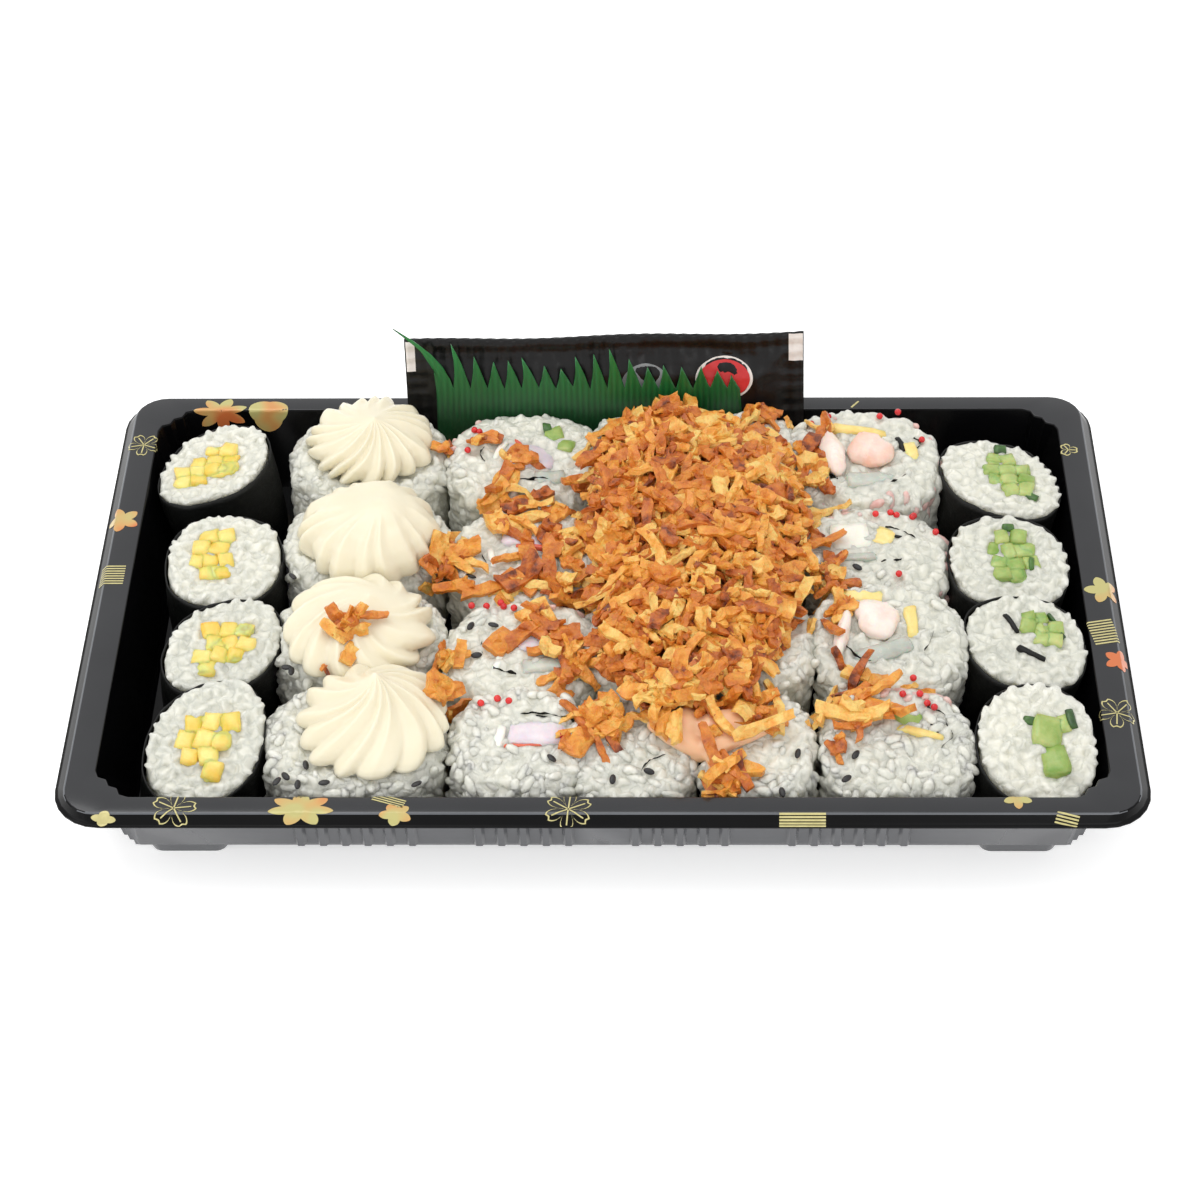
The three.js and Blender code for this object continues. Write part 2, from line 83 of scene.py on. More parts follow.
class Finish:
    def __init__(self, name, fixed):
        self.material = bpy.data.materials.new(name)
        self.material.use_nodes = True
        self.tree = self.material.node_tree
        self.shader = self.tree.nodes["Principled BSDF"]
        for socket, value in fixed.items():
            self.shader.inputs[socket].default_value = value
        self.place = self.node("ShaderNodeTexCoord", out="Object")

    def node(self, kind, settings=None, inputs=None, out=0):
        made = self.tree.nodes.new(kind)
        for setting, value in (settings or {}).items():
            if setting == "stops":
                ramp = made.color_ramp.elements
                while len(ramp) < len(value):
                    ramp.new(0.5)
                for stop, (position, colour) in zip(ramp, value):
                    stop.position = position
                    stop.color = (*colour, 1)
            else:
                setattr(made, setting, value)
        for socket, value in (inputs or {}).items():
            if isinstance(value, Wire):
                self.tree.links.new(value.socket, made.inputs[socket])
            else:
                made.inputs[socket].default_value = value
        return Wire(self, made.outputs[out])

    def maths(self, operation, value, other=1.0):
        return self.node("ShaderNodeMath", {"operation": operation}, {0: value, 1: other})

    def grain(self, scale, detail=3.0, roughness=0.55, place=None):
        return self.node("ShaderNodeTexNoise", {}, {"Vector": place or self.place, "Scale": scale,
                                                    "Detail": detail, "Roughness": roughness})

    def cells(self, place, scale):  # how far from the border between two cells
        return self.node("ShaderNodeTexVoronoi", {"feature": "DISTANCE_TO_EDGE"},
                         {"Vector": place, "Scale": scale})

    def warped(self, scale, amount):  # places pushed about, so that cells are uneven
        cloud = self.node("ShaderNodeTexNoise", {}, {"Vector": self.place, "Scale": scale}, out=1)
        shift = self.node("ShaderNodeVectorMath", {"operation": "SCALE"},
                          {0: cloud, "Scale": amount})
        return self.node("ShaderNodeVectorMath", {"operation": "ADD"}, {0: self.place, 1: shift})

    def eachPiece(self):  # a different number for every loose part
        return self.node("ShaderNodeNewGeometry", out="Random Per Island")

    def ramp(self, factor, stops):
        return self.node("ShaderNodeValToRGB", {"stops": stops}, {"Fac": factor})

    def mix(self, factor, first, second):
        return self.node("ShaderNodeMix", {"data_type": "RGBA"},
                         {0: factor, 6: first, 7: second}, out=2)

    def drive(self, socket, wire):
        self.tree.links.new(wire.socket, self.shader.inputs[socket])
        return self

    def bump(self, height, distance, strength=1.0):
        made = self.node("ShaderNodeBump", {}, {"Height": height, "Distance": distance,
                                                "Strength": strength})
        return self.drive("Normal", made)


def colour(red, green, blue):  # a screen colour in 0 to 255 as the linear one shaders take
    def linear(c):
        c = c / 255
        return c / 12.92 if c < 0.04045 else ((c + 0.055) / 1.055) ** 2.4
    return (linear(red), linear(green), linear(blue))


def opaque(red, green, blue):
    return (*colour(red, green, blue), 1)


# finishes of the food
def riceFinish(name, low, high, spots=420, relief=0.0001, depth=0.0022):
    rice = Finish(name, {"Subsurface Weight": 0.75, "Subsurface Scale": depth,
                         "Subsurface Radius": (1.0, 0.98, 0.95), "Specular IOR Level": 0.6,
                         "Coat Weight": 0.3, "Coat Roughness": 0.12})
    # the colour darkens along the seams between grains: painted shade in the gaps; the same seams
    # also sink in the bump
    seamDipAndShade = rice.maths("MINIMUM", rice.cells(rice.warped(330, 0.003), 340) * 4.5)
    shade = rice.eachPiece() * 0.3 + rice.grain(spots, 2) * 0.9 + seamDipAndShade * 0.35 - 0.38
    rice.drive("Base Color", rice.mix(shade, opaque(*low), opaque(*high)))
    rice.drive("Roughness", rice.grain(900) * 0.25 + 0.22)
    rice.bump(seamDipAndShade + rice.grain(1500, 2) * 0.3, relief, 0.6)
    return rice.material


riceWhite = riceFinish("rice", (205, 206, 195), (244, 241, 227), 360, 0.0002)
ricePink = riceFinish("pink rice", (220, 168, 160), (230, 206, 196))
riceMass = riceFinish("packed rice", (199, 200, 189), (245, 242, 227), 340, 0.0004, 0.0045)

seaweed = Finish("seaweed", {"Coat Weight": 0.06, "Coat Roughness": 0.35,
                             "Specular IOR Level": 0.35})
seaweed.drive("Base Color", seaweed.mix(seaweed.grain(260, 5), opaque(2, 3, 3),
                                        opaque(16, 17, 14)))
seaweed.drive("Roughness", seaweed.grain(180, 4) * 0.4 + 0.34)
seaweed.bump(seaweed.grain(300, 5) + seaweed.grain(1400, 2) * 0.35, 0.0007, 0.6)

cream = Finish("piped cream", {"Subsurface Weight": 0.5, "Subsurface Scale": 0.003,
                               "Subsurface Radius": (1.0, 0.94, 0.8), "Roughness": 0.36,
                               "Coat Weight": 0.1, "Coat Roughness": 0.25})
cream.drive("Base Color", cream.mix(cream.grain(90), opaque(230, 221, 193),
                                    opaque(237, 229, 205)))
cream.bump(cream.grain(500, 3), 0.00015, 0.4)


def foodFinish(name, low, high, size=320, rough=0.35, relief=0.0003, glow=0.25, shift=0):
    food = Finish(name, {"Subsurface Weight": glow, "Subsurface Scale": 0.002,
                         "Coat Weight": 0.2, "Coat Roughness": 0.2})
    shade = (food.grain(size, 4) - 0.5) * 1.5 + food.eachPiece() * 0.5 + (0.2 + shift)
    food.drive("Base Color", food.mix(shade, opaque(*low), opaque(*high)))
    food.drive("Roughness", food.grain(size * 2) * 0.2 + (rough - 0.1))
    food.bump(food.grain(size * 3, 3), relief, 0.5)
    return food.material


foodFinishes = {
    "radish": foodFinish("yellow radish", (240, 196, 70), (249, 228, 140), 300, glow=0.5),
    "cucumber": foodFinish("cucumber flesh", (122, 158, 62), (200, 208, 134), 260, glow=0.45),
    "cucumberSkin": foodFinish("cucumber skin", (16, 52, 16), (82, 128, 50), 500),
    "egg": foodFinish("egg", (238, 202, 104), (250, 232, 164), glow=0.4),
    "shrimp": foodFinish("shrimp", (234, 160, 124), (242, 230, 220), 120, 0.3, 0.0008,
                         glow=0.3, shift=0.35),
    "crab": foodFinish("crab stick", (208, 196, 206), (234, 222, 226), 260, glow=0.4),
    "crabRed": foodFinish("crab stick skin", (206, 58, 40), (238, 124, 92), 500),
    "white": foodFinish("cream cheese", (238, 234, 220), (248, 246, 236), 300),
    "fish": foodFinish("fish", (170, 176, 166), (206, 208, 196), 300, 0.25, glow=0.5),
    "roe": foodFinish("roe", (190, 16, 26), (234, 52, 50), 900, 0.15, 0.00005, 0.3),
    "seaweed": seaweed.material,
    "sesame": foodFinish("sesame", (6, 6, 8), (40, 38, 38), 900, 0.4),
}

onion = Finish("fried onions", {"Subsurface Weight": 0.2, "Subsurface Scale": 0.001,
                                "Coat Weight": 0.3, "Coat Roughness": 0.25})
onionShade = onion.eachPiece() * 0.75 + (onion.grain(300, 5) - 0.5) * 1.1 + 0.14
onion.drive("Base Color", onion.ramp(onionShade, [
    (0.03, colour(112, 48, 16)), (0.16, colour(184, 92, 24)), (0.42, colour(219, 130, 40)),
    (0.68, colour(238, 166, 64)), (0.92, colour(246, 206, 116))]))
onion.drive("Roughness", onion.grain(700) * 0.3 + 0.28)
onion.bump(onion.grain(800, 5) + onion.grain(300, 2) * 0.6, 0.0011, 0.9)

mayo = Finish("mayonnaise", {"Subsurface Weight": 0.3, "Subsurface Scale": 0.002,
                             "Coat Weight": 0.3, "Coat Roughness": 0.12, "Roughness": 0.28})
mayo.drive("Base Color", mayo.mix(mayo.grain(120), opaque(248, 208, 170), opaque(243, 184, 136)))
mayo.bump(mayo.grain(500, 2), 0.0001, 0.3)
print("finishes made")


# mesh helpers
def addPiece(name, mesh, finish, stands=(), smooth=True):
    if isinstance(mesh, bmesh.types.BMesh):
        mesh = keepMesh(mesh, name)
    mesh.materials.clear()
    mesh.materials.append(finish)
    mesh.polygons.foreach_set("use_smooth", [smooth] * len(mesh.polygons))
    made = bpy.data.objects.new(name, mesh)
    scene.collection.objects.link(made)
    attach(made, "root")
    if stands:
        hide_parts(*stands)
    return made


def mergedCopy(node):  # a CAD node's mesh with its loose triangles joined
    copy = bmesh.new()
    copy.from_mesh(nodes[node].data)
    bmesh.ops.remove_doubles(copy, verts=copy.verts, dist=1e-6)
    bmesh.ops.recalc_face_normals(copy, faces=copy.faces)
    return copy


def keepMesh(shape, name):
    mesh = bpy.data.meshes.new(name)
    shape.to_mesh(mesh)
    shape.free()
    return mesh


def pour(mesh, whole, place=Matrix()):  # moves a small mesh into a bigger one
    mesh.transform(place)
    whole.from_mesh(mesh)
    bpy.data.meshes.remove(mesh)


def joinCopies(shapes, places):
    joined = bmesh.new()
    for place in places:
        pour(random.choice(shapes).copy(), joined, place)
    return joined


def soften(shape, factor, rounds=1, verts=None, upright=True):
    for _ in range(rounds):
        bmesh.ops.smooth_vert(shape, verts=verts or shape.verts, factor=factor, use_axis_x=True,
                              use_axis_y=True, use_axis_z=upright)


def turnTo(normal, spin, tilt=0.0):  # lays Z along a normal, after a spin and a tilt
    way = Matrix.Rotation(random.uniform(0, 2 * math.pi), 4, "Z")
    leant = way @ Matrix.Rotation(tilt, 4, "X") @ way.inverted()
    upright = normal.to_track_quat("Z", "Y").to_matrix().to_4x4()
    return upright @ leant @ Matrix.Rotation(spin, 4, "Z")


# the place of the cut face on top of each roll: right, back and up from its middle
rollNames = [f"{column}_{row}" for column in columns for row in (1, 2, 3, 4)]


def cutFace(node):
    mesh = nodes[node].data
    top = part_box(node)[1].z
    flat = [p for p in mesh.polygons if p.normal.z > 0.88 and p.center.z > top - 14 * mm]
    outward = sum((p.normal * p.area for p in flat), Vector()).normalized()
    middle = sum((p.center * p.area for p in flat), Vector()) / sum(p.area for p in flat)
    right = (Vector((1, 0, 0)) - outward * outward.x).normalized()
    back = outward.cross(right)
    place = Matrix((right, back, outward)).transposed().to_4x4()
    place.translation = middle
    return place


faces = {name: cutFace(name) for name in rollNames}


# fillings: kind, right, back, width, depth, turn in degrees, in millimetres on the cut face
def batons(kind, side, rows):  # rows of upright sticks: how far back, how far right, how many
    sticks = []
    for back, right, count in rows:
        sticks.append((kind, right, back, side * count * 0.98, side * 1.0, random.uniform(-4, 4)))
        for place in range(count):
            across = right + (place - (count - 1) / 2) * side * 0.99
            sticks.append((kind, across + random.uniform(-0.4, 0.4),
                           back + random.uniform(-0.5, 0.5), side * random.uniform(0.98, 1.25),
                           side * random.uniform(0.92, 1.2), random.uniform(-17, 17)))
    return sticks


fillings = {
    "yellow_maki_1": batons("radish", 4.2, [(4.4, 2, 2), (0.6, 0.4, 3), (-3.2, -1.8, 4),
                                            (-6.4, -5.5, 2)]),
    "yellow_maki_2": batons("radish", 4.6, [(7.4, -2.2, 2), (3.0, -3.6, 2)]) +
    batons("radish", 3.9, [(-1.0, -2.9, 3), (-4.6, -1.8, 2)]),
    "yellow_maki_3": batons("radish", 4.3, [(4.2, 0.8, 3), (0.2, 1.8, 3), (-3.8, -0.6, 3),
                                            (-7.2, -3.4, 1)]),
    "yellow_maki_4": batons("radish", 4.7, [(4.6, 1.2, 3), (0.0, -0.6, 3), (-4.4, -1.2, 2),
                                            (-8.6, 2.2, 1)]),
    "cucumber_maki_1": batons("cucumber", 4.1, [(6.6, 0.4, 2), (2.6, 1.6, 3), (-1.4, 2.6, 3),
                                                (-5.2, 4.2, 2)]) +
    [("cucumberSkin", 0.6, 10.2, 3.4, 2.6, 0), ("cucumberSkin", 7.4, -7.6, 3.6, 2.0, -30)],
    "cucumber_maki_2": batons("cucumber", 4.1, [(7.2, 0.8, 2), (3.2, 0.2, 3), (-0.8, 1.2, 3),
                                                (-4.8, 0, 2)]) +
    [("cucumberSkin", 0.2, 10.4, 3.0, 2.2, 8), ("cucumberSkin", 5.6, -1.4, 1.2, 3.4, 0)],
    "cucumber_maki_3": batons("cucumber", 3.6, [(7.2, 2.4, 2), (3.8, 3.4, 3), (0.4, 5.2, 2)]) +
    [("cucumberSkin", 8.2, 0.6, 3.2, 2.0, 35), ("cucumberSkin", 6.9, 6.8, 0.8, 4.0, 30),
     ("seaweed", -3.6, 5.0, 1.3, 6.6, 32), ("seaweed", 0.9, -4.4, 1.5, 8.2, 58)],
    "cucumber_maki_4": [("cucumber", 2.3, 2.6, 7.6, 8.4, -8), ("cucumber", 3.8, -4.8, 6.4, 8.6, 6),
                        ("cucumber", 6.4, 5.0, 3.6, 5.0, 12),
                        ("cucumberSkin", 8.4, 6.2, 2.2, 5.6, 10),
                        ("cucumberSkin", -1.4, 5.7, 4.2, 2.0, -8)],
    "crab_roll_1": [("crab", 0.6, 0.8, 12.5, 11, 4), ("crabRed", -3.4, 6.6, 1.0, 3.6, 30),
                    ("white", -8.2, 1.4, 1.9, 11, -22), ("cucumber", 6.6, 9.6, 4.6, 5.6, 12),
                    ("cucumber", 9.8, 5.2, 4.8, 5.4, -14), ("cucumberSkin", 4.6, 11.4, 2.4, 3.0, 0),
                    ("fish", 5.6, -7.6, 9.0, 4.6, 6)],
    "crab_roll_2": [("crab", -1.6, 5.6, 11, 4.6, -4), ("crabRed", 0.8, 2.8, 9.0, 1.4, -8),
                    ("white", -9.0, -3.0, 1.7, 11.5, 12), ("fish", 2.4, -2.4, 11.5, 6.0, 0)],
    "crab_roll_3": [("white", -5.4, -1.6, 2.0, 17, -18), ("crab", 2.8, 2.0, 10, 6.0, 0),
                    ("fish", 5.8, -5.4, 14, 4.4, 4)],
    "crab_roll_4": [("crab", 3.9, 1.8, 15, 6.6, 2), ("crabRed", 1.0, -1.9, 11, 0.9, 4),
                    ("white", -5.4, 0.0, 2.4, 7.4, -12), ("seaweed", 6.6, 6.2, 7.6, 0.7, -3)],
    "shrimp_roll_1": [("shrimp", -8.2, 0.0, 7.4, 17.5, 14), ("shrimp", 2.0, 0.8, 12.6, 12.5, -22),
                      ("egg", -0.6, 9.6, 15.5, 3.0, -2), ("egg", 12.8, 2.0, 3.6, 6.0, 8),
                      ("seaweed", 10.2, 4.6, 1.6, 6.8, 14), ("fish", 2.4, -8.4, 15.5, 5.0, 16)],
    "shrimp_roll_2": [("white", -6.2, 5.4, 10.6, 8.6, 6), ("egg", 2.4, 6.0, 5.6, 6.4, -24),
                      ("seaweed", 6.9, 5.6, 6.0, 1.3, -20), ("fish", -6.0, -1.8, 13, 2.6, 2)],
    "shrimp_roll_3": [("egg", -5.6, 13.0, 14, 3.8, 4), ("shrimp", -2.4, 5.0, 12.5, 12.5, -28),
                      ("shrimp", -11.6, -0.6, 4.0, 15, -10), ("egg", 6.0, 4.6, 3.4, 9.6, 4),
                      ("fish", -1.6, -5.4, 15, 4.8, 18)],
    "shrimp_roll_4": [("cucumber", 3.4, 6.6, 8.4, 4.6, -4), ("egg", 5.6, 2.6, 12.5, 2.0, -16),
                      ("white", -3.9, 9.4, 5.2, 2.2, 6), ("seaweed", 9.6, 3.2, 0.8, 8.0, 30)],
}
stickDepth = 5.0


def softStick(width, depth, height, edge, waviness):  # an upright block with rounded, uneven edges
    block = bmesh.new()
    bmesh.ops.create_cube(block, size=1)
    bmesh.ops.scale(block, vec=(width * mm, depth * mm, height * mm), verts=block.verts)
    bmesh.ops.subdivide_edges(block, edges=block.edges[:], cuts=3, use_grid_fill=True)
    soften(block, edge)
    bmesh.ops.translate(block, vec=(0, 0, -height / 2 * mm), verts=block.verts)
    offset = Vector((random.uniform(0, 90), random.uniform(0, 90), random.uniform(0, 90)))
    slant = random.uniform(-0.16, 0.16), random.uniform(-0.16, 0.16)
    for v in block.verts:
        v.co += noise.noise_vector(v.co * 260 + offset) * waviness * mm
        v.co.z += (v.co.x * slant[0] + v.co.y * slant[1])
    return keepMesh(block, "stick")


def roundLump(width, depth, height, waviness):  # a rounded piece such as a shrimp's cut tail
    lump = bmesh.new()
    bmesh.ops.create_uvsphere(lump, u_segments=28, v_segments=16, radius=0.5)
    bmesh.ops.scale(lump, vec=(width * mm, depth * mm, height * mm), verts=lump.verts)
    offset = Vector((random.uniform(0, 90), random.uniform(0, 90), 0))
    for v in lump.verts:
        squash = 1 + 0.3 * noise.noise(v.co * 190 + offset)
        squash -= 0.07 * abs(math.sin(v.co.x * 620 + 2 * noise.noise(v.co * 90)))
        v.co = v.co * squash + noise.noise_vector(v.co * 500 + offset) * waviness * mm
    return keepMesh(lump, "lump")


def makeFillings():
    parts = {kind: bmesh.new() for kind in foodFinishes}
    for name, blocks in fillings.items():
        for kind, right, back, width, depth, turn in blocks:
            small = kind in ("radish", "cucumber") and width < 5.6 and depth < 5.6
            bed = kind in ("radish", "cucumber") and depth < 5 and not small
            lift = random.uniform(-0.1, 0.8) if small else random.uniform(0.2, 0.6)
            lift = -0.35 if bed else lift
            if kind == "shrimp":
                shape = roundLump(width, depth, 6.4, 0.25)
                lift = 0.6
            else:
                shape = softStick(width, depth, stickDepth, 0.8, 0.6)
            place = Matrix.Translation((right * mm, back * mm, lift * mm))
            tilt = Matrix.Rotation(random.uniform(-0.08, 0.08), 4, "X")
            spin = Matrix.Rotation(math.radians(turn), 4, "Z")
            pour(shape, parts[kind], faces[name] @ place @ tilt @ spin)
    for name, arcs in noriLines.items():
        for arc in arcs:
            pour(noriStrip(*arc), parts["seaweed"], faces[name])
    return parts


# the sheet of seaweed rolled inside: middle, half width, half depth, first and last angle
noriLines = {
    "shrimp_roll_1": [(1.0, 0.4, 12.8, 12.4, 196, 232), (1.0, 0.4, 13.4, 12.0, 290, 318),
                      (12.0, 5.0, 3.4, 2.6, -80, 60)],
    "shrimp_roll_2": [(-1.5, 3.0, 13.0, 6.5, 10, 70), (-2.0, 1.0, 12.0, 4.5, 200, 236),
                      (-2.0, 1.0, 12.0, 4.5, 286, 318)],
    "shrimp_roll_3": [(-1.0, 2.4, 12.5, 11.5, 214, 252), (-1.0, 3.0, 12.5, 10.5, 318, 350)],
    "shrimp_roll_4": [(3.0, 3.0, 10.0, 7.5, -48, 62)],
    "crab_roll_1": [(1.0, 2.0, 14.0, 11.0, 172, 204), (1.0, 2.0, 14.0, 11.0, 244, 292)],
    "crab_roll_2": [(0.0, 1.0, 12.0, 9.0, 182, 214), (0.0, 1.0, 12.0, 9.0, 262, 300)],
    "crab_roll_3": [(1.0, 0.0, 12.0, 9.0, 168, 196), (1.0, 0.0, 12.0, 9.0, 226, 256)],
    "crab_roll_4": [(3.5, 1.5, 10.0, 6.0, 30, 115), (4.0, 0.5, 9.0, 5.5, -50, 10)],
    "onion_roll_left_4": [(9.5, -9.0, 8.0, 6.0, 105, 175)],
}


def noriStrip(right, back, halfWidth, halfDepth, first, last):
    strip = bmesh.new()
    bmesh.ops.create_grid(strip, x_segments=30, y_segments=3, size=0.5)
    for v in strip.verts:
        angle = math.radians(first + (last - first) * (v.co.x + 0.5))
        ragged = noise.noise(Vector((right + angle * 2.2, back, halfWidth)))
        reach = 1 + 0.1 * ragged
        height = -2.6 + (v.co.y + 0.5) * (3.1 + 0.9 * noise.noise(Vector((angle * 7, right, 3))))
        v.co = Vector((right + halfWidth * reach * math.cos(angle),
                       back + halfDepth * reach * math.sin(angle), height)) * mm
    bmesh.ops.solidify(strip, geom=strip.faces[:], thickness=0.5 * mm)
    bmesh.ops.recalc_face_normals(strip, faces=strip.faces)
    return keepMesh(strip, "nori")


def onBlock(name, right, back, margin):  # whether a place on a cut face is under a filling
    for _, x, y, width, depth, turn in fillings.get(name, ()):
        angle = -math.radians(turn)
        dx, dy = right - x, back - y
        px = dx * math.cos(angle) - dy * math.sin(angle)
        py = dx * math.sin(angle) + dy * math.cos(angle)
        if abs(px) < width / 2 - margin and abs(py) < depth / 2 - margin:
            return True
    return False


# rice: a packed layer of grains fused over a smaller body, and loose grains on it
grain = {"length": 5.6, "width": 2.5, "kinds": 8, "packed": 2.0, "loose": 3.7, "lowest": 8.5,
         "voxel": 0.6, "edge": 0.35, "coveredBy": 2.6, "clear": 3.2}
core = {"thick": 0.85, "thin": 0.75, "topBand": 1.7, "topIn": 0.38, "topDown": 1.05}
onTop = 0.88  # a face whose normal rises more than this is on the cut face


def makeGrain():
    shape = bmesh.new()
    bmesh.ops.create_uvsphere(shape, u_segments=8, v_segments=6, radius=0.5)
    bmesh.ops.rotate(shape, cent=(0, 0, 0), matrix=Matrix.Rotation(math.pi / 2, 3, "Y"),
                     verts=shape.verts)
    length = grain["length"] * random.uniform(0.8, 1.12)
    width = grain["width"] * random.uniform(0.9, 1.15)
    bow = random.uniform(-0.1, 0.1)
    for v in shape.verts:
        x = v.co.x * 2
        v.co.y = (v.co.y + bow * x * x * 0.5) * (1 - 0.14 * x)
        v.co.z *= 1 + 0.1 * x
    bmesh.ops.scale(shape, vec=(length * mm, width * mm, width * 0.9 * mm), verts=shape.verts)
    return keepMesh(shape, "grain")


grainShapes = [makeGrain() for _ in range(grain["kinds"])]


def meshTree(names):
    solid = bmesh.new()
    for name in names:
        solid.from_mesh(nodes[name].data)
    tree = BVHTree.FromBMesh(solid)
    solid.free()
    return tree


rollTree = meshTree(rollNames + ["tray"])
coverTree = meshTree([f"cream_swirl_{i}" for i in (1, 2, 3, 4)] + ["fried_onions"])
up = Vector((0, 0, 1))


def covered(point):  # well under the cream or the onions
    reach = grain["coveredBy"] * mm
    for dx, dy in ((0, 0), (reach, 0), (-reach, 0), (0, reach), (0, -reach)):
        hit = coverTree.ray_cast(point + Vector((dx, dy, 0.1 * mm)), up, 30 * mm)
        if hit[0] is None:
            return False
    return True


def againstNeighbour(point, normal):
    hit = rollTree.ray_cast(point + normal * 0.08 * mm, normal, grain["clear"] * mm)
    return hit[0] is not None


def scatter(node, gap, keep):  # evenly spread points with normals over a node
    mesh = nodes[node].data
    corners = [v.co for v in mesh.vertices]
    triangles = [(p.normal.copy(), [corners[i] for i in p.vertices]) for p in mesh.polygons
                 if p.normal.z > -0.4]
    areas = [((b - a).cross(c - a)).length / 2 for _, (a, b, c) in triangles]
    taken, found = {}, []
    for normal, (a, b, c) in random.choices(triangles, weights=areas,
                                            k=int(sum(areas) / (gap * mm) ** 2 * 4)):
        r, s = math.sqrt(random.random()), random.random()
        point = a * (1 - r) + b * (r * (1 - s)) + c * (r * s)
        key = tuple(int(math.floor(k / (gap * mm))) for k in point)
        near = [q for dx in (-1, 0, 1) for dy in (-1, 0, 1) for dz in (-1, 0, 1)
                for q in taken.get((key[0] + dx, key[1] + dy, key[2] + dz), ())]
        if any((q - point).length < gap * mm for q in near) or not keep(point, normal):
            continue
        taken.setdefault(key, []).append(point)
        found.append((point, normal))
    return found


def riceSpots(name, gap, thin):
    inside = faces[name].inverted()
    tree = meshTree([name])
    middle = faces[name].translation

    def keep(point, normal):
        if point.z < grain["lowest"] * mm or covered(point):
            return False
        if normal.z <= onTop:
            return not thin and normal.z > -0.2 and not (
                point.z < 26 * mm and againstNeighbour(point, normal))
        local = inside @ point / mm
        if onBlock(name, local.x, local.y, 0.4):
            return False
        if thin:  # the rim is left to the sheet of seaweed
            outward = (point - middle).normalized()
            hit = tree.ray_cast(point - faces[name].to_3x3() @ up * 0.9 * mm, outward, 20 * mm)
            return hit[0] is None or hit[3] > grain["edge"] * mm
        return True
    return scatter(name, gap, keep)


def layRice(name, gap, thin, sunk, scale=1.0, loose=False):
    laid = []
    for point, normal in riceSpots(name, gap, thin):
        top = normal.z > onTop
        if loose and top and random.random() > (0.45 if name[-1] == "4" else 0.25):
            continue
        tilt = random.gauss(0, 0.12 if thin else 0.3 if top else 0.22)
        depth = sunk + random.uniform(-0.4, 0.4) + (0.1 if top else 0)
        size = random.uniform(0.86, 1.12) * scale * (0.78 if thin else 1.0)
        laid.append((Matrix.Translation(point - normal * depth * mm) @
                     turnTo(normal, random.uniform(0, 2 * math.pi), tilt) @
                     Matrix.Scale(size, 4), faces[name].inverted() @ point / mm))
    return laid


pinkRolls = {
    "crab_roll_1": lambda x, y: x < -11 and y > 2,
    "shrimp_roll_1": lambda x, y: y > 12 or x > 15 or y < -15,
    "shrimp_roll_2": lambda x, y: y > 11.5 or x > 16,
    "shrimp_roll_4": lambda x, y: y > 11.5 and x > -4,
    "crab_roll_3": lambda x, y: y > 12.5,
}
wrap = {"thickness": 0.35, "wrinkle": 0.38, "around": 72, "rings": 12, "foot": 6.2, "below": 1.5,
        "inside": 0.6, "over": 0.25}


def pressInside(copy, face, tree):  # a thin roll's sheet holds its grains; they swell over its edge
    start = face.translation - face.to_3x3() @ up * 0.9 * mm
    for v in copy.vertices:
        local = face.inverted() @ v.co
        away = Vector((local.x, local.y, 0))
        hit = tree.ray_cast(start, face.to_3x3() @ away.normalized(), 30 * mm)
        held = wrap["inside"] if local.z < -wrap["below"] * mm else -wrap["over"]
        if hit[0] and away.length > hit[3] - held * mm:
            away *= (hit[3] - held * mm) / away.length
            v.co = face @ Vector((away.x, away.y, local.z))


def makeBody(column, thin):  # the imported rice: a smaller roll under fused grains
    body = bmesh.new()
    for row in (1, 2, 3, 4):
        name = f"{column}_{row}"
        roll = mergedCopy(name)
        inside = faces[name].inverted()
        for v in roll.verts:
            if not thin:
                v.co -= v.normal * core["thick"] * mm
            elif (inside @ v.co).z > -core["topBand"] * mm:
                local = inside @ v.co
                local *= 1 - core["topIn"] * mm / max(local.length, 1 * mm)
                v.co = faces[name] @ (local - up * core["topDown"] * mm)
            else:
                v.co -= v.normal * core["thin"] * mm
        pour(keepMesh(roll, "roll"), body)
        tree = meshTree([name])
        for place, _ in layRice(name, grain["packed"] * (0.86 if thin else 1), thin, 0.85):
            copy = random.choice(grainShapes).copy()
            copy.transform(place)
            if thin:
                pressInside(copy, faces[name], tree)
            pour(copy, body)
    return body


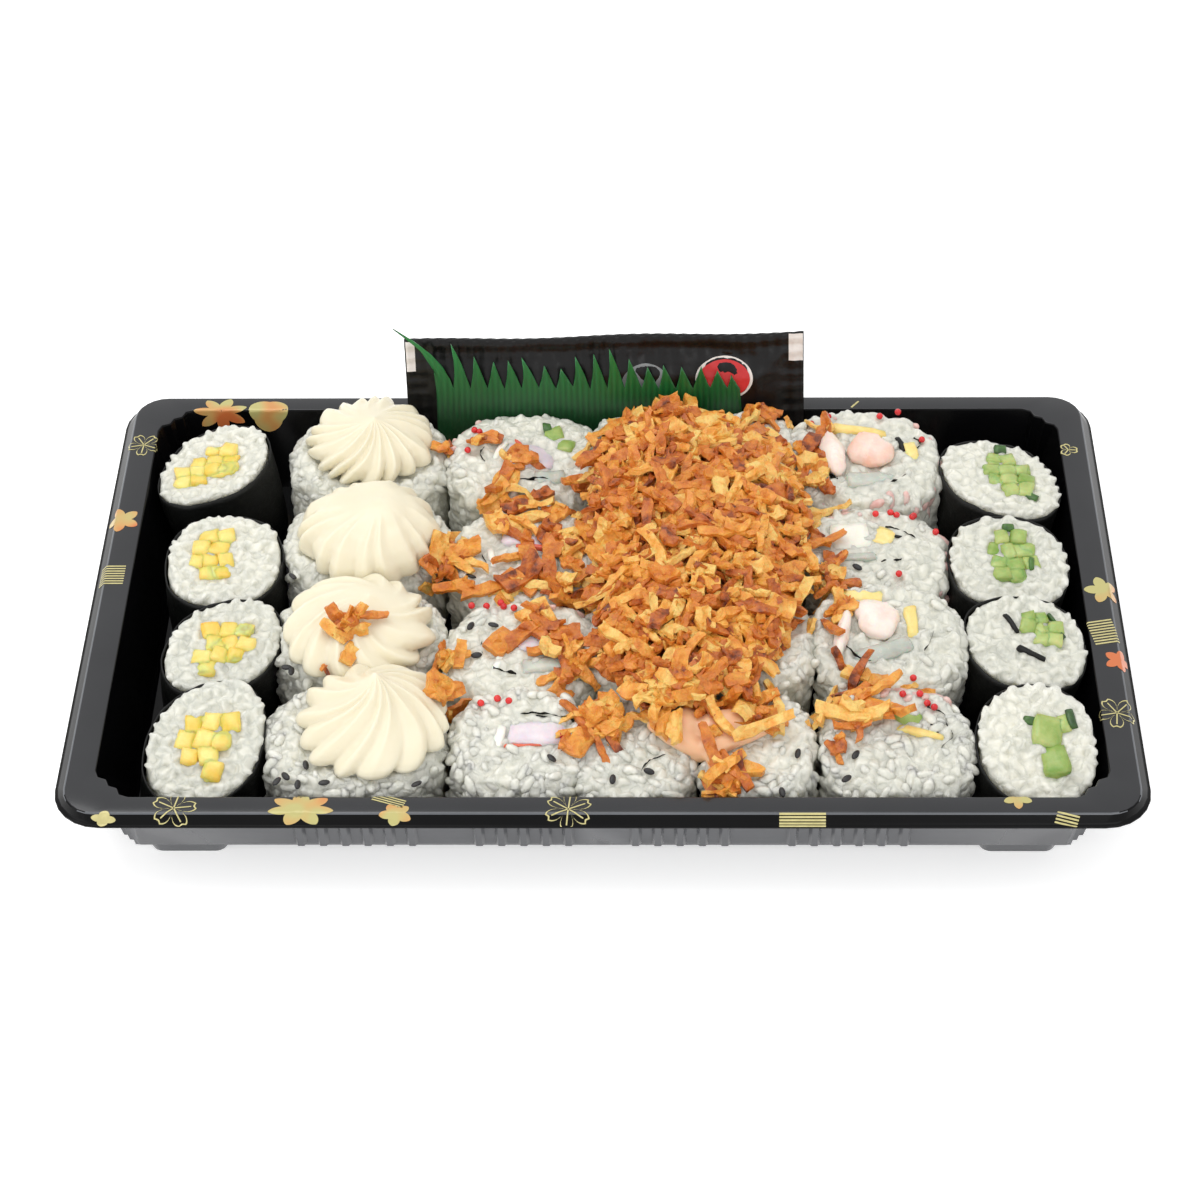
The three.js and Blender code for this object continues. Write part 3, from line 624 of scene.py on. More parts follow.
def makeWraps(column):  # seaweed round the sides of thin rolls
    sides = bmesh.new()
    for row in (1, 2, 3, 4):
        name = f"{column}_{row}"
        tree = meshTree([name])
        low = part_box(name)[0]
        face = faces[name]
        tube = bmesh.new()
        bmesh.ops.create_grid(tube, x_segments=wrap["around"], y_segments=wrap["rings"], size=0.5)
        footPoints = [v.co for v in nodes[name].data.vertices if v.co.z < low.z + 2 * mm]
        footMiddle = sum(footPoints, Vector()) / len(footPoints)
        footMiddle.z = wrap["foot"] * mm
        for v in tube.verts:
            angle = (v.co.x + 0.5) * 2 * math.pi
            outward = Vector((math.cos(angle), math.sin(angle), 0))
            topStart = face.translation - face.to_3x3() @ up * (wrap["below"] + 0.8) * mm
            topOut = face.to_3x3() @ outward
            foot = tree.ray_cast(footMiddle, outward)[0] or footMiddle + outward * 13 * mm
            top = tree.ray_cast(topStart, topOut)[0] or topStart + topOut * 14 * mm
            top = top + face.to_3x3() @ up * 0.8 * mm
            t = v.co.y + 0.5
            swell = 0.35 * math.sin(math.pi * t) * mm
            ripple = wrap["wrinkle"] * noise.noise(Vector((math.cos(angle) * 3, math.sin(angle) * 3,
                                                           t * 2 + row * 9)))
            torn = 0.35 * noise.noise(Vector((angle * 5, row, 2))) * (t > 0.99)
            v.co = foot.lerp(top, t) + outward * (swell + ripple * mm) + up * torn * mm
        bmesh.ops.remove_doubles(tube, verts=tube.verts, dist=1e-5)
        soften(tube, 0.5, 3, [v for v in tube.verts if not v.is_boundary], upright=False)
        soften(tube, 0.5, 4, upright=False)
        for v in tube.verts:
            away = v.co - footMiddle
            away.z = 0
            v.co += away.normalized() * 0.15 * mm
        bmesh.ops.recalc_face_normals(tube, faces=tube.faces)
        pour(keepMesh(tube, "wrap"), sides)
    return sides


def fuse(piece, voxel, rounds):  # joins what overlaps into one smooth skin
    joinUp = piece.modifiers.new("join", "REMESH")
    joinUp.mode, joinUp.voxel_size, joinUp.use_smooth_shade = "VOXEL", voxel * mm, True
    ease = piece.modifiers.new("ease", "SMOOTH")
    ease.factor, ease.iterations = 0.5, rounds


for column in columns:
    thin = column.endswith("maki")
    names = [f"{column}_{row}" for row in (1, 2, 3, 4)]
    body = addPiece(column + "_packed_rice", makeBody(column, thin), riceMass, names)
    fuse(body, grain["voxel"] * (0.82 if thin else 1), 3 if thin else 0)
    plain, pink = [], []
    for row, name in enumerate(names, 1):
        if thin:
            continue
        gap = grain["loose"] * (0.6 if row == 4 else 0.95)
        for place, local in layRice(name, gap, thin, 0.8, 1.05, True):
            stained = name in pinkRolls and pinkRolls[name](local.x, local.y)
            (pink if stained else plain).append(place)
    if plain:
        addPiece(column + "_rice", joinCopies(grainShapes, plain), riceWhite)
    if pink:
        addPiece(column + "_pink_rice", joinCopies(grainShapes, pink), ricePink)
    if thin:
        sheet = addPiece(column + "_seaweed", makeWraps(column), seaweed.material)
        thick = sheet.modifiers.new("sheet", "SOLIDIFY")
        thick.thickness, thick.offset = wrap["thickness"] * mm, 0.5
    print("rolls laid:", column, len(plain) + len(pink), "loose grains")
for kind, shape in makeFillings().items():
    if shape.verts:
        addPiece("filling_" + kind, shape, foodFinishes[kind])
    else:
        shape.free()
print("fillings laid")


# piped cream: right and back from the middle of its roll's cut face, in millimetres
ridge = 0.03  # how far the folds cut in, as a share of the reach
swirls = {
    "cream_swirl_1": {"right": -0.1, "back": 1.9, "width": 34.5, "depth": 33.5, "height": 10.0,
                      "profile": "mound", "lobes": 19, "rim": 0.14, "twist": 0.45,
                      "folds": 0.06, "crest": 0.9, "turn": 0.2, "tip": (1.4, 0.5)},
    "cream_swirl_2": {"right": 1.0, "back": -1.8, "width": 37.5, "depth": 35.5, "height": 12.5,
                      "profile": "dome", "lobes": 15, "rim": 0.09, "twist": 0.15,
                      "folds": 0.22, "crest": 0.8, "turn": 0.9, "tip": (3.4, 3.2)},
    "cream_swirl_3": {"right": 0.1, "back": -1.6, "width": 39, "depth": 36.5, "height": 10.5,
                      "profile": "mound", "lobes": 13, "rim": 0.12, "twist": -1.3,
                      "folds": 0.12, "crest": 0.9, "turn": 1.7, "tip": (3.0, 3.6)},
    "cream_swirl_4": {"right": 4.3, "back": 2.3, "width": 39, "depth": 35, "height": 13.5,
                      "profile": "peak", "lobes": 14, "rim": 0.13, "twist": 1.1,
                      "folds": 0.02, "crest": 1.0, "turn": 2.6, "tip": (1.2, 5.6)},
}
creamProfiles = {  # how far along, reach, rise
    "mound": [(0.0, 0.0, 1.0), (0.04, 0.03, 0.97), (0.1, 0.1, 0.92), (0.25, 0.27, 0.83),
              (0.45, 0.52, 0.7), (0.65, 0.76, 0.54), (0.8, 0.91, 0.38), (0.9, 0.985, 0.22),
              (1.0, 1.0, 0.08), (1.1, 0.93, 0.0), (2.0, 0.0, 0.0)],
    "dome": [(0.0, 0.0, 1.0), (0.05, 0.05, 0.985), (0.15, 0.16, 0.965), (0.3, 0.36, 0.9),
             (0.48, 0.6, 0.78), (0.65, 0.8, 0.6), (0.8, 0.93, 0.4), (0.9, 0.98, 0.24),
             (1.0, 1.0, 0.08), (1.1, 0.93, 0.0), (2.0, 0.0, 0.0)],
    "peak": [(0.0, 0.0, 1.0), (0.05, 0.035, 0.965), (0.13, 0.1, 0.87), (0.28, 0.24, 0.73),
             (0.46, 0.44, 0.58), (0.62, 0.64, 0.45), (0.78, 0.83, 0.33), (0.9, 0.96, 0.2),
             (1.0, 1.0, 0.08), (1.1, 0.93, 0.0), (2.0, 0.0, 0.0)],
}


def alongProfile(points, t):
    for (t0, r0, z0), (t1, r1, z1) in zip(points, points[1:]):
        if t <= t1:
            k = (t - t0) / (t1 - t0)
            return r0 + (r1 - r0) * k, z0 + (z1 - z0) * k
    return points[-1][1:]


def makeSwirl(number, facts):
    swirl = bmesh.new()
    lobes = facts["lobes"]
    bmesh.ops.create_uvsphere(swirl, u_segments=lobes * 10, v_segments=52, radius=1)
    for v in swirl.verts:
        t = math.acos(max(-1, min(1, v.co.z))) / (math.pi / 2)
        angle = math.atan2(v.co.y, v.co.x)
        around = Vector((math.cos(angle), math.sin(angle), number))
        reach, rise = alongProfile(creamProfiles[facts["profile"]], t)
        uneven = 1 + 0.75 * noise.noise(around * 2.1)
        sway = 0.3 * noise.noise(Vector((around.x * 1.6, around.y * 1.6, t * 1.2 + number)))
        wave = abs(math.cos((angle + sway * 9 / lobes + sway * 0.4) * lobes / 2))
        crest = 1 - math.sqrt(max(0, 1 - wave * wave))  # a narrow ridge down each petal
        valley = (1 - wave) ** 1.6  # the fold between two petals
        ahead = 0.5 - 0.5 * math.sin(angle + facts["turn"])  # 1 at the front, 0 at the back
        start = facts["folds"] + 0.25 * (1 - ahead)
        under = 1 if t < 1.05 else max(0, 1 - (t - 1.05) * 3)  # fades below the edge
        grow = min(1, max(0, (t - start) / 0.3)) * under
        edge = min(1, max(0, (t - 0.55) / 0.4)) * under
        inward = 1 - (ridge * grow * (1 - crest) + facts["rim"] * edge * valley) * uneven
        outline = 1 + 0.09 * noise.noise(around * 2.3 + Vector((0, 0, 7))) * edge
        swung = angle + facts["turn"] + facts["twist"] * (1 - min(t, 1)) ** 1.3
        shift = 1 - min(1, reach)
        soft = noise.noise(Vector((reach * 2 * around.x, reach * 2 * around.y, number)))
        puff = 0.55 * edge * (wave ** 0.8 - 0.5) * uneven
        radius = reach * inward * outline / 2
        rib = facts["crest"] * grow * (crest - 0.5) * min(1, rise * 3) * uneven
        v.co = Vector((facts["width"] * radius * math.cos(swung) + facts["tip"][0] * shift,
                       facts["depth"] * radius * math.sin(swung) + facts["tip"][1] * shift,
                       facts["height"] * rise * (1 + 0.09 * soft) + rib +
                       puff * min(1, rise * 4))) * mm
    base = faces[f"cream_roll_{number}"]
    lift = Matrix.Translation((facts["right"] * mm, facts["back"] * mm, 0.4 * mm))
    bmesh.ops.transform(swirl, matrix=base @ lift, verts=swirl.verts)
    return swirl


for number, (name, facts) in enumerate(swirls.items(), 1):
    addPiece(name + "_piped", makeSwirl(number, facts), cream.material, [name])
print("cream piped")


# fried onions: flakes over a smaller core of the heap
flakes = {"chips": 16, "strips": 16, "gap": 2.8, "shrink": 2.6, "sunk": 1.4,
          "thickness": (0.8, 1.6), "sizes": (0.6, 1.2)}
flakeKinds = {"chip": {"length": (5, 9.5), "width": (3.4, 6.6), "across": (5, 3), "curl": 0.16,
                       "ragged": (0.9, 0.9)},
              "strip": {"length": (8, 15), "width": (2.0, 3.8), "across": (7, 2), "curl": 0.06,
                        "ragged": (0.8, 0.6)}}


def makeFlake(facts):  # a thin, ragged, crumpled piece: a wide chip or a curled strip
    length, width = random.uniform(*facts["length"]), random.uniform(*facts["width"])
    flake = bmesh.new()
    bmesh.ops.create_grid(flake, x_segments=facts["across"][0], y_segments=facts["across"][1],
                          size=0.5)
    offset = Vector((random.uniform(0, 99), random.uniform(0, 99), 0))
    curl = random.uniform(-facts["curl"], facts["curl"])
    sway = random.uniform(-0.05, 0.05)
    taper = random.uniform(0, 0.35)
    for v in flake.verts:
        s, t = v.co.x * 2, v.co.y * 2
        x, y = v.co.x * length, v.co.y * width * (1 - taper * (0.5 + s / 2) - 0.12 * abs(s) ** 3)
        ragged = noise.noise_vector(Vector((s * 1.9, t * 1.4, 5)) + offset)
        x += ragged.x * facts["ragged"][0]
        y += ragged.y * facts["ragged"][1] + sway * x * x
        crumple = 1.5 * noise.noise(Vector((x * 0.33, y * 0.42, 3)) + offset)
        v.co = Vector((x, y, curl * x * x * 0.5 + 0.09 * y * y * (1 if curl > 0 else -1) +
                       crumple)) * mm
    raised = bmesh.ops.extrude_face_region(flake, geom=flake.faces[:])["geom"]
    for v in raised:
        if isinstance(v, bmesh.types.BMVert):
            v.co += (noise.noise_vector(v.co * 300 + offset) * 0.25 +
                     Vector((0, 0, random.uniform(*flakes["thickness"])))) * mm
    bmesh.ops.triangulate(flake, faces=flake.faces)
    bmesh.ops.recalc_face_normals(flake, faces=flake.faces)
    return keepMesh(flake, "flake")


flakeShapes = [makeFlake(flakeKinds[kind]) for kind in ("chip", "strip")
               for _ in range(flakes[kind + "s"])]


def layFlake(point, normal, tilt=0.35, size=1.0):
    return (Matrix.Translation(point) @
            turnTo(normal, random.uniform(0, 2 * math.pi), random.gauss(0, tilt)) @
            Matrix.Scale(size * random.uniform(*flakes["sizes"]), 4))


restsOn = [meshTree(rollNames), coverTree]


def dropTo(x, y, lift=0.6):  # the point on top of the rolls or the cream under a place
    start = Vector((x * mm, y * mm, 90 * mm))
    hits = [tree.ray_cast(start, -up) for tree in restsOn]
    hits = [h for h in hits if h[0] is not None]
    if not hits:
        return None
    hit = max(hits, key=lambda h: h[0].z)
    return (hit[0] + hit[1] * lift * mm, hit[1]) if hit[0].z > 22 * mm else None


# spiced mayonnaise: a thick band with drips, right and back in millimetres with its radius
mayoStrokes = [[(13, -52.5, 2.6), (17, -55.5, 2.9), (21, -58, 3.1), (25, -58.8, 3.0),
                (30, -57.5, 2.7), (35, -55.5, 2.4), (39, -53.5, 2.4)],
               [(27, -58, 2.7), (27.4, -62, 2.6), (27.6, -64.5, 2.2)],
               [(20, -52, 4.5), (26, -53, 4.5), (32, -52, 4.0)]]


def makeMayo():
    band = bmesh.new()
    for stroke in mayoStrokes:
        for (x0, y0, r0), (x1, y1, r1) in zip(stroke, stroke[1:]):
            steps = max(2, int(math.hypot(x1 - x0, y1 - y0) / 0.9))
            for step in range(steps + 1):
                k = step / steps
                spot = dropTo(x0 + (x1 - x0) * k, y0 + (y1 - y0) * k, 0.9)
                radius = r0 + (r1 - r0) * k + 0.25 * noise.noise(Vector((x0 + k * 5, y0, k * 3)))
                if spot:
                    flatten = Matrix.Diagonal((1, 1, 0.8, 1))
                    bmesh.ops.create_icosphere(band, subdivisions=2, radius=radius * mm,
                                               matrix=Matrix.Translation(spot[0]) @ flatten)
    return band


mayoShape = makeMayo()
mayoTree = BVHTree.FromBMesh(mayoShape)
blob = addPiece("mayo_band", mayoShape, mayo.material, ["mayo"])
fuse(blob, 0.6, 18)
restsOn.append(mayoTree)
print("mayonnaise laid")


# loose flakes round the heap
looseAreas = [  # right, back, how far each way, how many flakes, size
    (-7, 30, 7, 22, 18, 0.9), (-7, 0, 7, 12, 16, 0.9), (-5, -32, 8, 12, 22, 0.95),
    (-2, -54, 8, 6, 14, 0.9), (54, 34, 5, 24, 26, 0.9), (57, -4, 6, 16, 34, 0.9),
    (60, -42, 6, 9, 24, 1.0), (24, -58, 16, 3, 5, 0.95), (46, 63, 12, 3, 8, 0.9),
    (26, -46, 16, 4, 46, 1.0), (2, -50, 7, 4, 16, 1.0), (-24, -4, 5, 5, 6, 1.2),
    (-22, 26, 6, 8, 5, 1.2), (-13, 14, 9, 14, 14, 1.15), (-13, -22, 9, 8, 10, 1.15)]
handPlaced = [  # right, back, how far apart, lean, size, how many
    (-37, 7, 4.2, 0.6, 1.0, 22), (-43, 4, 2.6, 0.5, 0.8, 8), (-37, -29, 1.8, 0.5, 0.85, 6),
    (-39, -45, 2.4, 0.6, 1.0, 10), (-44, 52, 1.6, 0.4, 0.8, 4), (-63, -26, 2.4, 0.3, 0.8, 8),
    (-67, -35, 0.8, 0.3, 0.45, 2), (-26, 19, 1.5, 0.4, 1.25, 3), (-24, 47, 2.0, 0.4, 1.0, 5),
    (-33, 53, 1.6, 0.6, 0.8, 4), (-26, 34, 2.4, 0.4, 1.1, 6), (60, 58, 2.0, 0.5, 0.9, 4),
    (62, -51, 3.0, 0.5, 1.15, 9), (78, -38, 1.2, 0.3, 0.5, 2), (28, -68, 2.4, 0.6, 0.95, 8),
    (55, -58, 1.6, 0.4, 0.7, 3), (14, -50, 2.4, 0.4, 1.0, 7), (26, -51, 1.6, 0.4, 0.9, 2),
    (39, -51, 2.4, 0.4, 1.0, 9), (30, -66, 2.4, 0.5, 1.1, 8)]


def anywhere(point, normal):
    return normal.z > -0.3


places = []
for gap, sunk in ((flakes["gap"], flakes["sunk"]), (flakes["gap"] * 1.15, 0.5)):
    for point, normal in scatter("fried_onions", gap, anywhere):
        outside = max(0, 1 - normal.z)
        depth = sunk + random.uniform(-0.6, 0.7) + outside * 0.8
        places.append(layFlake(point - normal * depth * mm, (normal + up * 0.7).normalized()))
for x, y, spreadX, spreadY, count, size in looseAreas:
    for _ in range(count):
        spot = dropTo(random.gauss(x, spreadX / 2), random.gauss(y, spreadY / 2),
                      random.uniform(0.3, 1.6))
        if spot:
            places.append(layFlake(spot[0], spot[1], 0.25, size))
for x, y, apart, lift, size, count in handPlaced:
    for index in range(count):
        spot = dropTo(x + random.gauss(0, apart), y + random.gauss(0, apart * 0.7),
                      random.uniform(0.4, 1.0) + 2.2 * lift * index / count)
        if spot:
            places.append(layFlake(spot[0], spot[1], lift, size))
half = len(places) // 2
random.shuffle(places)
for part, share in (("a", places[:half]), ("b", places[half:])):
    addPiece("onion_flakes_" + part, joinCopies(flakeShapes, share), onion.material,
             smooth=False)
print("onions laid:", len(places), "flakes")


def makeHeapCore():
    body = mergedCopy("fried_onions")
    bmesh.ops.subdivide_edges(body, edges=body.edges[:], cuts=4, use_grid_fill=True)
    bmesh.ops.triangulate(body, faces=body.faces)
    soften(body, 0.6, 2)
    body.normal_update()
    for v in body.verts:
        lumps = 1.5 * noise.noise(v.co * 260) + 0.9 * noise.noise(v.co * 700)
        v.co -= v.normal * (flakes["shrink"] - lumps) * mm
    return body


addPiece("onion_heap", makeHeapCore(), onion.material, ["fried_onions"])

# scattered roe and sesame: right and back on each cut face, in millimetres
roeSpots = {
    "crab_roll_1": [(-15.6, 8), (-14.2, 5.4), (-16.6, 3.2), (-13.8, 9.6)],
    "crab_roll_3": [(-12.4, 13.0), (-10.2, 13.4), (-8.0, 13.0), (-5.6, 13.3), (-3.6, 12.9)],
    "crab_roll_4": [(-8.4, 11.2), (-6.4, 11.4), (-4.2, 11.1), (9.9, 1.6)],
    "shrimp_roll_1": [(11.6, 15.2), (4.4, 15.6), (16.6, 5.0), (-8.4, 15.0), (-14, 12.0)],
    "shrimp_roll_2": [(1.6, 13.3), (3.6, 13.6), (6.2, 13.2), (8.8, 13.5), (11.4, 12.9),
                      (16.4, 6.0), (4.2, -9.0)],
    "shrimp_roll_3": [(5.3, -12.6)],
    "shrimp_roll_4": [(2.4, 12.0), (5.6, 12.8), (8.8, 12.2), (9.6, 10.0)],
}
sesameSpots = {
    "cream_roll_2": [(-18, -14)],
    "cream_roll_3": [(-17, -13), (-15.5, -15)],
    "cream_roll_4": [(-15, -14), (-12.5, -15.5), (-12, -11), (-17.5, -15.2), (-6, -16),
                     (16, -14), (19, 10)],
    "crab_roll_2": [(-15, -8)],
    "crab_roll_3": [(-13.5, 5), (-12.6, -3), (-8.4, 7.4)],
    "crab_roll_4": [(7.4, -6)],
    "onion_roll_left_4": [(4, -9), (-6, -12)],
    "onion_roll_right_4": [(6, -14), (9, -5)],
    "shrimp_roll_4": [(-10, -4), (-13.6, -11)],
    "shrimp_roll_2": [(-6, -4)],
}


def beads(spots, size, lift, jitter):
    shape = bmesh.new()
    bmesh.ops.create_uvsphere(shape, u_segments=12, v_segments=8, radius=0.5)
    bmesh.ops.scale(shape, vec=[s * mm for s in size], verts=shape.verts)
    shape = keepMesh(shape, "bead")
    laid = []
    for name, x, y in [(name, *spot) for name in spots for spot in spots[name]]:
        x, y = x + random.gauss(0, jitter), y + random.gauss(0, jitter * 1.6)
        local = Matrix.Translation((x * mm, y * mm, (lift + random.uniform(-0.3, 0.2)) * mm))
        spin = Matrix.Rotation(random.uniform(0, 6.3), 4, "Z")
        tilt = Matrix.Rotation(random.uniform(-jitter, jitter), 4, "X")
        laid.append(faces[name] @ local @ (spin @ tilt))
    return joinCopies([shape], laid)


addPiece("roe_beads", beads(roeSpots, (1.8, 1.8, 1.8), 0.6, 0.7), foodFinishes["roe"])
addPiece("sesame_seeds", beads(sesameSpots, (2.9, 1.6, 0.9), 0.75, 0.5), foodFinishes["sesame"])
print("roe and sesame laid")

# sachet and grass stand against the back wall
lean = {"wall": 14.0, "turn": 1.2, "bottom": 11.0, "inner": 73.7, "rim": 27.0}
wallLean = math.radians(lean["wall"])


def standUp(backGap):  # a turn from flat to leaning back on the wall
    back = lean["inner"] - (lean["rim"] - lean["bottom"]) * math.tan(wallLean) - backGap
    return (Matrix.Translation((0, back * mm, lean["bottom"] * mm)) @
            Matrix.Rotation(math.pi / 2 - wallLean, 4, "X"))


film = Finish("sachet film", {"Coat Weight": 0.12, "Coat Roughness": 0.15, "Roughness": 0.32,
                               "Specular IOR Level": 0.3})
film.drive("Base Color", film.mix(film.grain(60), opaque(4, 4, 5), opaque(13, 11, 12)))
film.bump(film.grain(420, 4), 0.0003, 0.4)
sachetFacts = {"width": 107.5, "height": 39.5, "seal": 6.0, "puff": 4.0}


def makeSachet():
    facts = sachetFacts
    width, height = facts["width"], facts["height"]
    turn = Matrix.Rotation(math.radians(lean["turn"]), 4, "Z")
    stand = standUp(facts["puff"] * 0.4 + 0.35) @ turn
    sheets = bmesh.new()
    for side in (-1, 1):  # the back and the front film
        layer = bmesh.new()
        bmesh.ops.create_grid(layer, x_segments=120, y_segments=44, size=0.5)
        for v in layer.verts:
            s, t = v.co.x * width, (v.co.y + 0.5) * height
            toEdge = min(width / 2 - abs(s), height - t, t)
            full = max(0, min(1, (toEdge - facts["seal"]) / 9))
            crimp = 0.18 * (math.sin(s * 5.2) + math.sin(t * 5.2)) if toEdge < facts["seal"] else 0
            pleat = noise.noise(Vector((s * 0.09, t * 0.22, side * 3))) * 1.1 * min(1, toEdge / 5)
            pucker = 0.45 * noise.noise(Vector((s * 0.5, t * 0.14, side))) * min(1, toEdge / 6)
            share = 0.6 if side > 0 else 0.4
            bulge = facts["puff"] * share * (full ** 0.6) + 0.25
            lift = side * bulge + (pleat + pucker) * 0.6 + crimp
            wave = 0.35 * math.sin(s * 0.11 + 0.6) if t > height - 8 else 0
            v.co = Vector((s, t + wave, lift)) * mm
        solid = keepMesh(layer, "film")
        if side < 0:
            solid.flip_normals()
        pour(solid, sheets)
    rims = [e for e in sheets.edges if e.is_boundary]
    bmesh.ops.bridge_loops(sheets, edges=rims)
    bmesh.ops.transform(sheets, matrix=stand, verts=sheets.verts)
    bmesh.ops.recalc_face_normals(sheets, faces=sheets.faces)
    return sheets, stand


sachetShape, sachetStand = makeSachet()
sachetTree = BVHTree.FromBMesh(sachetShape)
addPiece("sachet_film", sachetShape, film.material, ["sachet"])


def layFlat(shape, stand, tree, lift):  # lays a flat shape against a leaning surface
    forward = (stand.to_3x3() @ Vector((0, 0, 1))).normalized()
    for v in shape.verts:
        start = stand @ v.co + forward * 12 * mm
        hit = tree.ray_cast(start, -forward)
        v.co = (hit[0] if hit[0] else stand @ v.co) + forward * lift * mm
    return shape


def sized(shape, width, depth, x, y):
    bmesh.ops.scale(shape, vec=(width * mm, depth * mm, 1), verts=shape.verts)
    bmesh.ops.translate(shape, vec=(x * mm, y * mm, 0), verts=shape.verts)
    return shape


def flatOval(width, depth, x, y):
    oval = bmesh.new()
    bmesh.ops.create_circle(oval, cap_ends=True, cap_tris=False, segments=48, radius=0.5)
    for _ in range(5):  # rings of faces that can follow the film
        middle = [f for f in oval.faces if len(f.verts) > 4]
        bmesh.ops.inset_region(oval, faces=middle, thickness=0.085, depth=0)
    bmesh.ops.poke(oval, faces=[f for f in oval.faces if len(f.verts) > 4])
    return sized(oval, width, depth, x, y)


def flatPatch(width, depth, x, y):
    patch = bmesh.new()
    bmesh.ops.create_grid(patch, x_segments=16, y_segments=20, size=0.5)
    return sized(patch, width, depth, x, y)


def inkFinish(name, low, high, metallic=0.0, rough=0.3):
    ink = Finish(name, {"Metallic": metallic, "Coat Weight": 0.4, "Coat Roughness": 0.1})
    ink.drive("Base Color", ink.mix(ink.grain(600), opaque(*low), opaque(*high)))
    ink.drive("Roughness", ink.grain(900) * 0.15 + rough)
    return ink.material


inks = {
    "red": inkFinish("red ink", (190, 24, 30), (212, 36, 38)),
    "pale": inkFinish("pale ink", (222, 214, 208), (238, 232, 226)),
    "grey": inkFinish("grey ink", (126, 130, 132), (150, 154, 156)),
}
tabs = [("tab_left", "pale", 0.1, flatPatch(2.4, 8.6, -52.2, 34.8)),
        ("tab_right", "pale", 0.1, flatPatch(3.8, 7.8, 51.6, 35.2)),
        ("oval_rim", "pale", 0.1, flatOval(15.5, 12.0, 32.2, 27.2)),
        ("oval_middle", "red", 0.3, flatOval(13.9, 10.4, 32.2, 27.2)),
        ("oval_grey", "grey", 0.1, flatOval(13.0, 11.5, 11.0, 26.0))]
for name, ink, lift, shape in tabs:
    addPiece("sachet_" + name, layFlat(shape, sachetStand, sachetTree, lift), inks[ink])
print("sachet made")

grassFinish = Finish("green plastic", {"Coat Weight": 0.25, "Coat Roughness": 0.2,
                                       "Subsurface Weight": 0.1, "Subsurface Scale": 0.001})
grassHeight = grassFinish.node("ShaderNodeSeparateXYZ", {}, {0: grassFinish.place}, out=2)
grassAcross = grassFinish.node("ShaderNodeSeparateXYZ", {}, {0: grassFinish.place}, out=0)
# the green darkens towards the bottom and in stripes along the pleats: painted shade low in the
# tray and in the folds
pleatPaintedShade = grassFinish.maths("SINE", (grassAcross + grassFinish.grain(20) * 0.002) * 4080)
grassPaintedShade = (grassHeight - 0.03) * 52 + pleatPaintedShade * 0.1 + grassFinish.grain(150) * 0.2 - 0.05
grassFinish.drive("Base Color", grassFinish.mix(grassPaintedShade, opaque(4, 58, 24),
                                                opaque(28, 124, 58)))
grassFinish.drive("Roughness", grassFinish.grain(300) * 0.2 + 0.28)
grassFacts = {"left": -46.0, "blade": 4.62, "bottom": 14.0, "valley": 36.5, "thickness": 0.35,
              "columns": 8, "peak": 0.375, "fromWall": 5.2,
              "tips": [55, 50, 46.5, 45, 45, 45.5, 43.5, 42.5, 46, 47, 48.5, 45.5, 43, 43.5, 43,
                       43.5, 42, 40.5]}


def makeGrass():
    facts = grassFacts
    tips, blade, across = facts["tips"], facts["blade"], facts["columns"]
    along = 1 / math.cos(wallLean)
    strip = bmesh.new()
    bmesh.ops.create_grid(strip, x_segments=len(tips) * across, y_segments=26, size=0.5)
    for v in strip.verts:
        column = (v.co.x + 0.5) * len(tips)
        index = min(len(tips) - 1, int(column + 1e-6))
        share = column - index
        crest = facts["peak"]
        peak = 1 - abs(share - crest) / (crest if share < crest else 1 - crest)
        valley = facts["valley"] + 0.8 * noise.noise(Vector((column * 0.7, 0, 1)))
        top = valley + (tips[index] - valley) * max(0, peak) ** 1.1
        t = v.co.y + 0.5
        z = facts["bottom"] + (top - facts["bottom"]) * t
        high = max(0, z - valley)
        bend = noise.noise(Vector((index * 3.1, 0, 7)))
        curl = -0.5 if index == 0 else bend * 0.3 - 0.12
        x = facts["left"] + column * blade + curl * high * high / 14
        x += 0.09 * max(0, z - facts["bottom"] - 8) * max(0, share + index - len(tips) + 1.0) * -1
        toFront = (0.08 * high + 0.012 * high * high) * (0.6 + bend)
        toFront += 0.16 * math.sin(column * 18.8)
        v.co = Vector((x, (z - lean["bottom"]) * along, toFront + 0.2)) * mm
    bmesh.ops.transform(strip, matrix=standUp(facts["fromWall"]), verts=strip.verts)
    return strip


grass = addPiece("grass_strip", makeGrass(), grassFinish.material,
                 ["plastic_grass"])
sheet = grass.modifiers.new("sheet", "SOLIDIFY")
sheet.thickness, sheet.offset = grassFacts["thickness"] * mm, 0
print("grass made")

# the tray: its edges eased, with a gloss inside; the rim and underside greyer and the eased edges
# lighter than the black plastic: painted reflection and painted highlight
trayFacts = {"rim": 27.0, "inner": (121.6, 73.7), "crease": (128.4, 79.1), "lip": (130.6, 80.6),
             "hem": 0.6, "lipFoot": 23.8, "lipBend": 24.5, "floor": 5.2, "wall": 0.45,
             "slope": math.tan(math.radians(14)), "ease": 0.45, "corner": 10.5}


def plasticFinish(name, low, high, rough, shine=0.5, coat=0.15, scuffs=0.10):
    plastic = Finish(name, {"Coat Weight": coat, "Coat Roughness": 0.08,
                            "Specular IOR Level": shine})
    plastic.drive("Base Color", plastic.mix(plastic.grain(45, 4), opaque(*low), opaque(*high)))
    plastic.drive("Roughness", plastic.grain(70, 5) * scuffs + rough)
    plastic.bump(plastic.grain(35, 3) + plastic.grain(1200, 2) * 0.02, 0.0004, 0.25)
    return plastic.material


# one black plastic in four colours: the rim and the outside are grey as painted reflection, the
# eased edge light as painted highlight
plastics = [plasticFinish("black tray inside", (3, 3, 4), (8, 8, 9), 0.14, 0.15, 0.02),
            plasticFinish("black tray rim painted reflection", (24, 25, 28), (42, 43, 46), 0.16),
            plasticFinish("black tray outside painted reflection", (66, 67, 70), (92, 93, 96), 0.2),
            plasticFinish("black tray edge painted highlight", (78, 80, 84), (104, 107, 112), 0.2)]
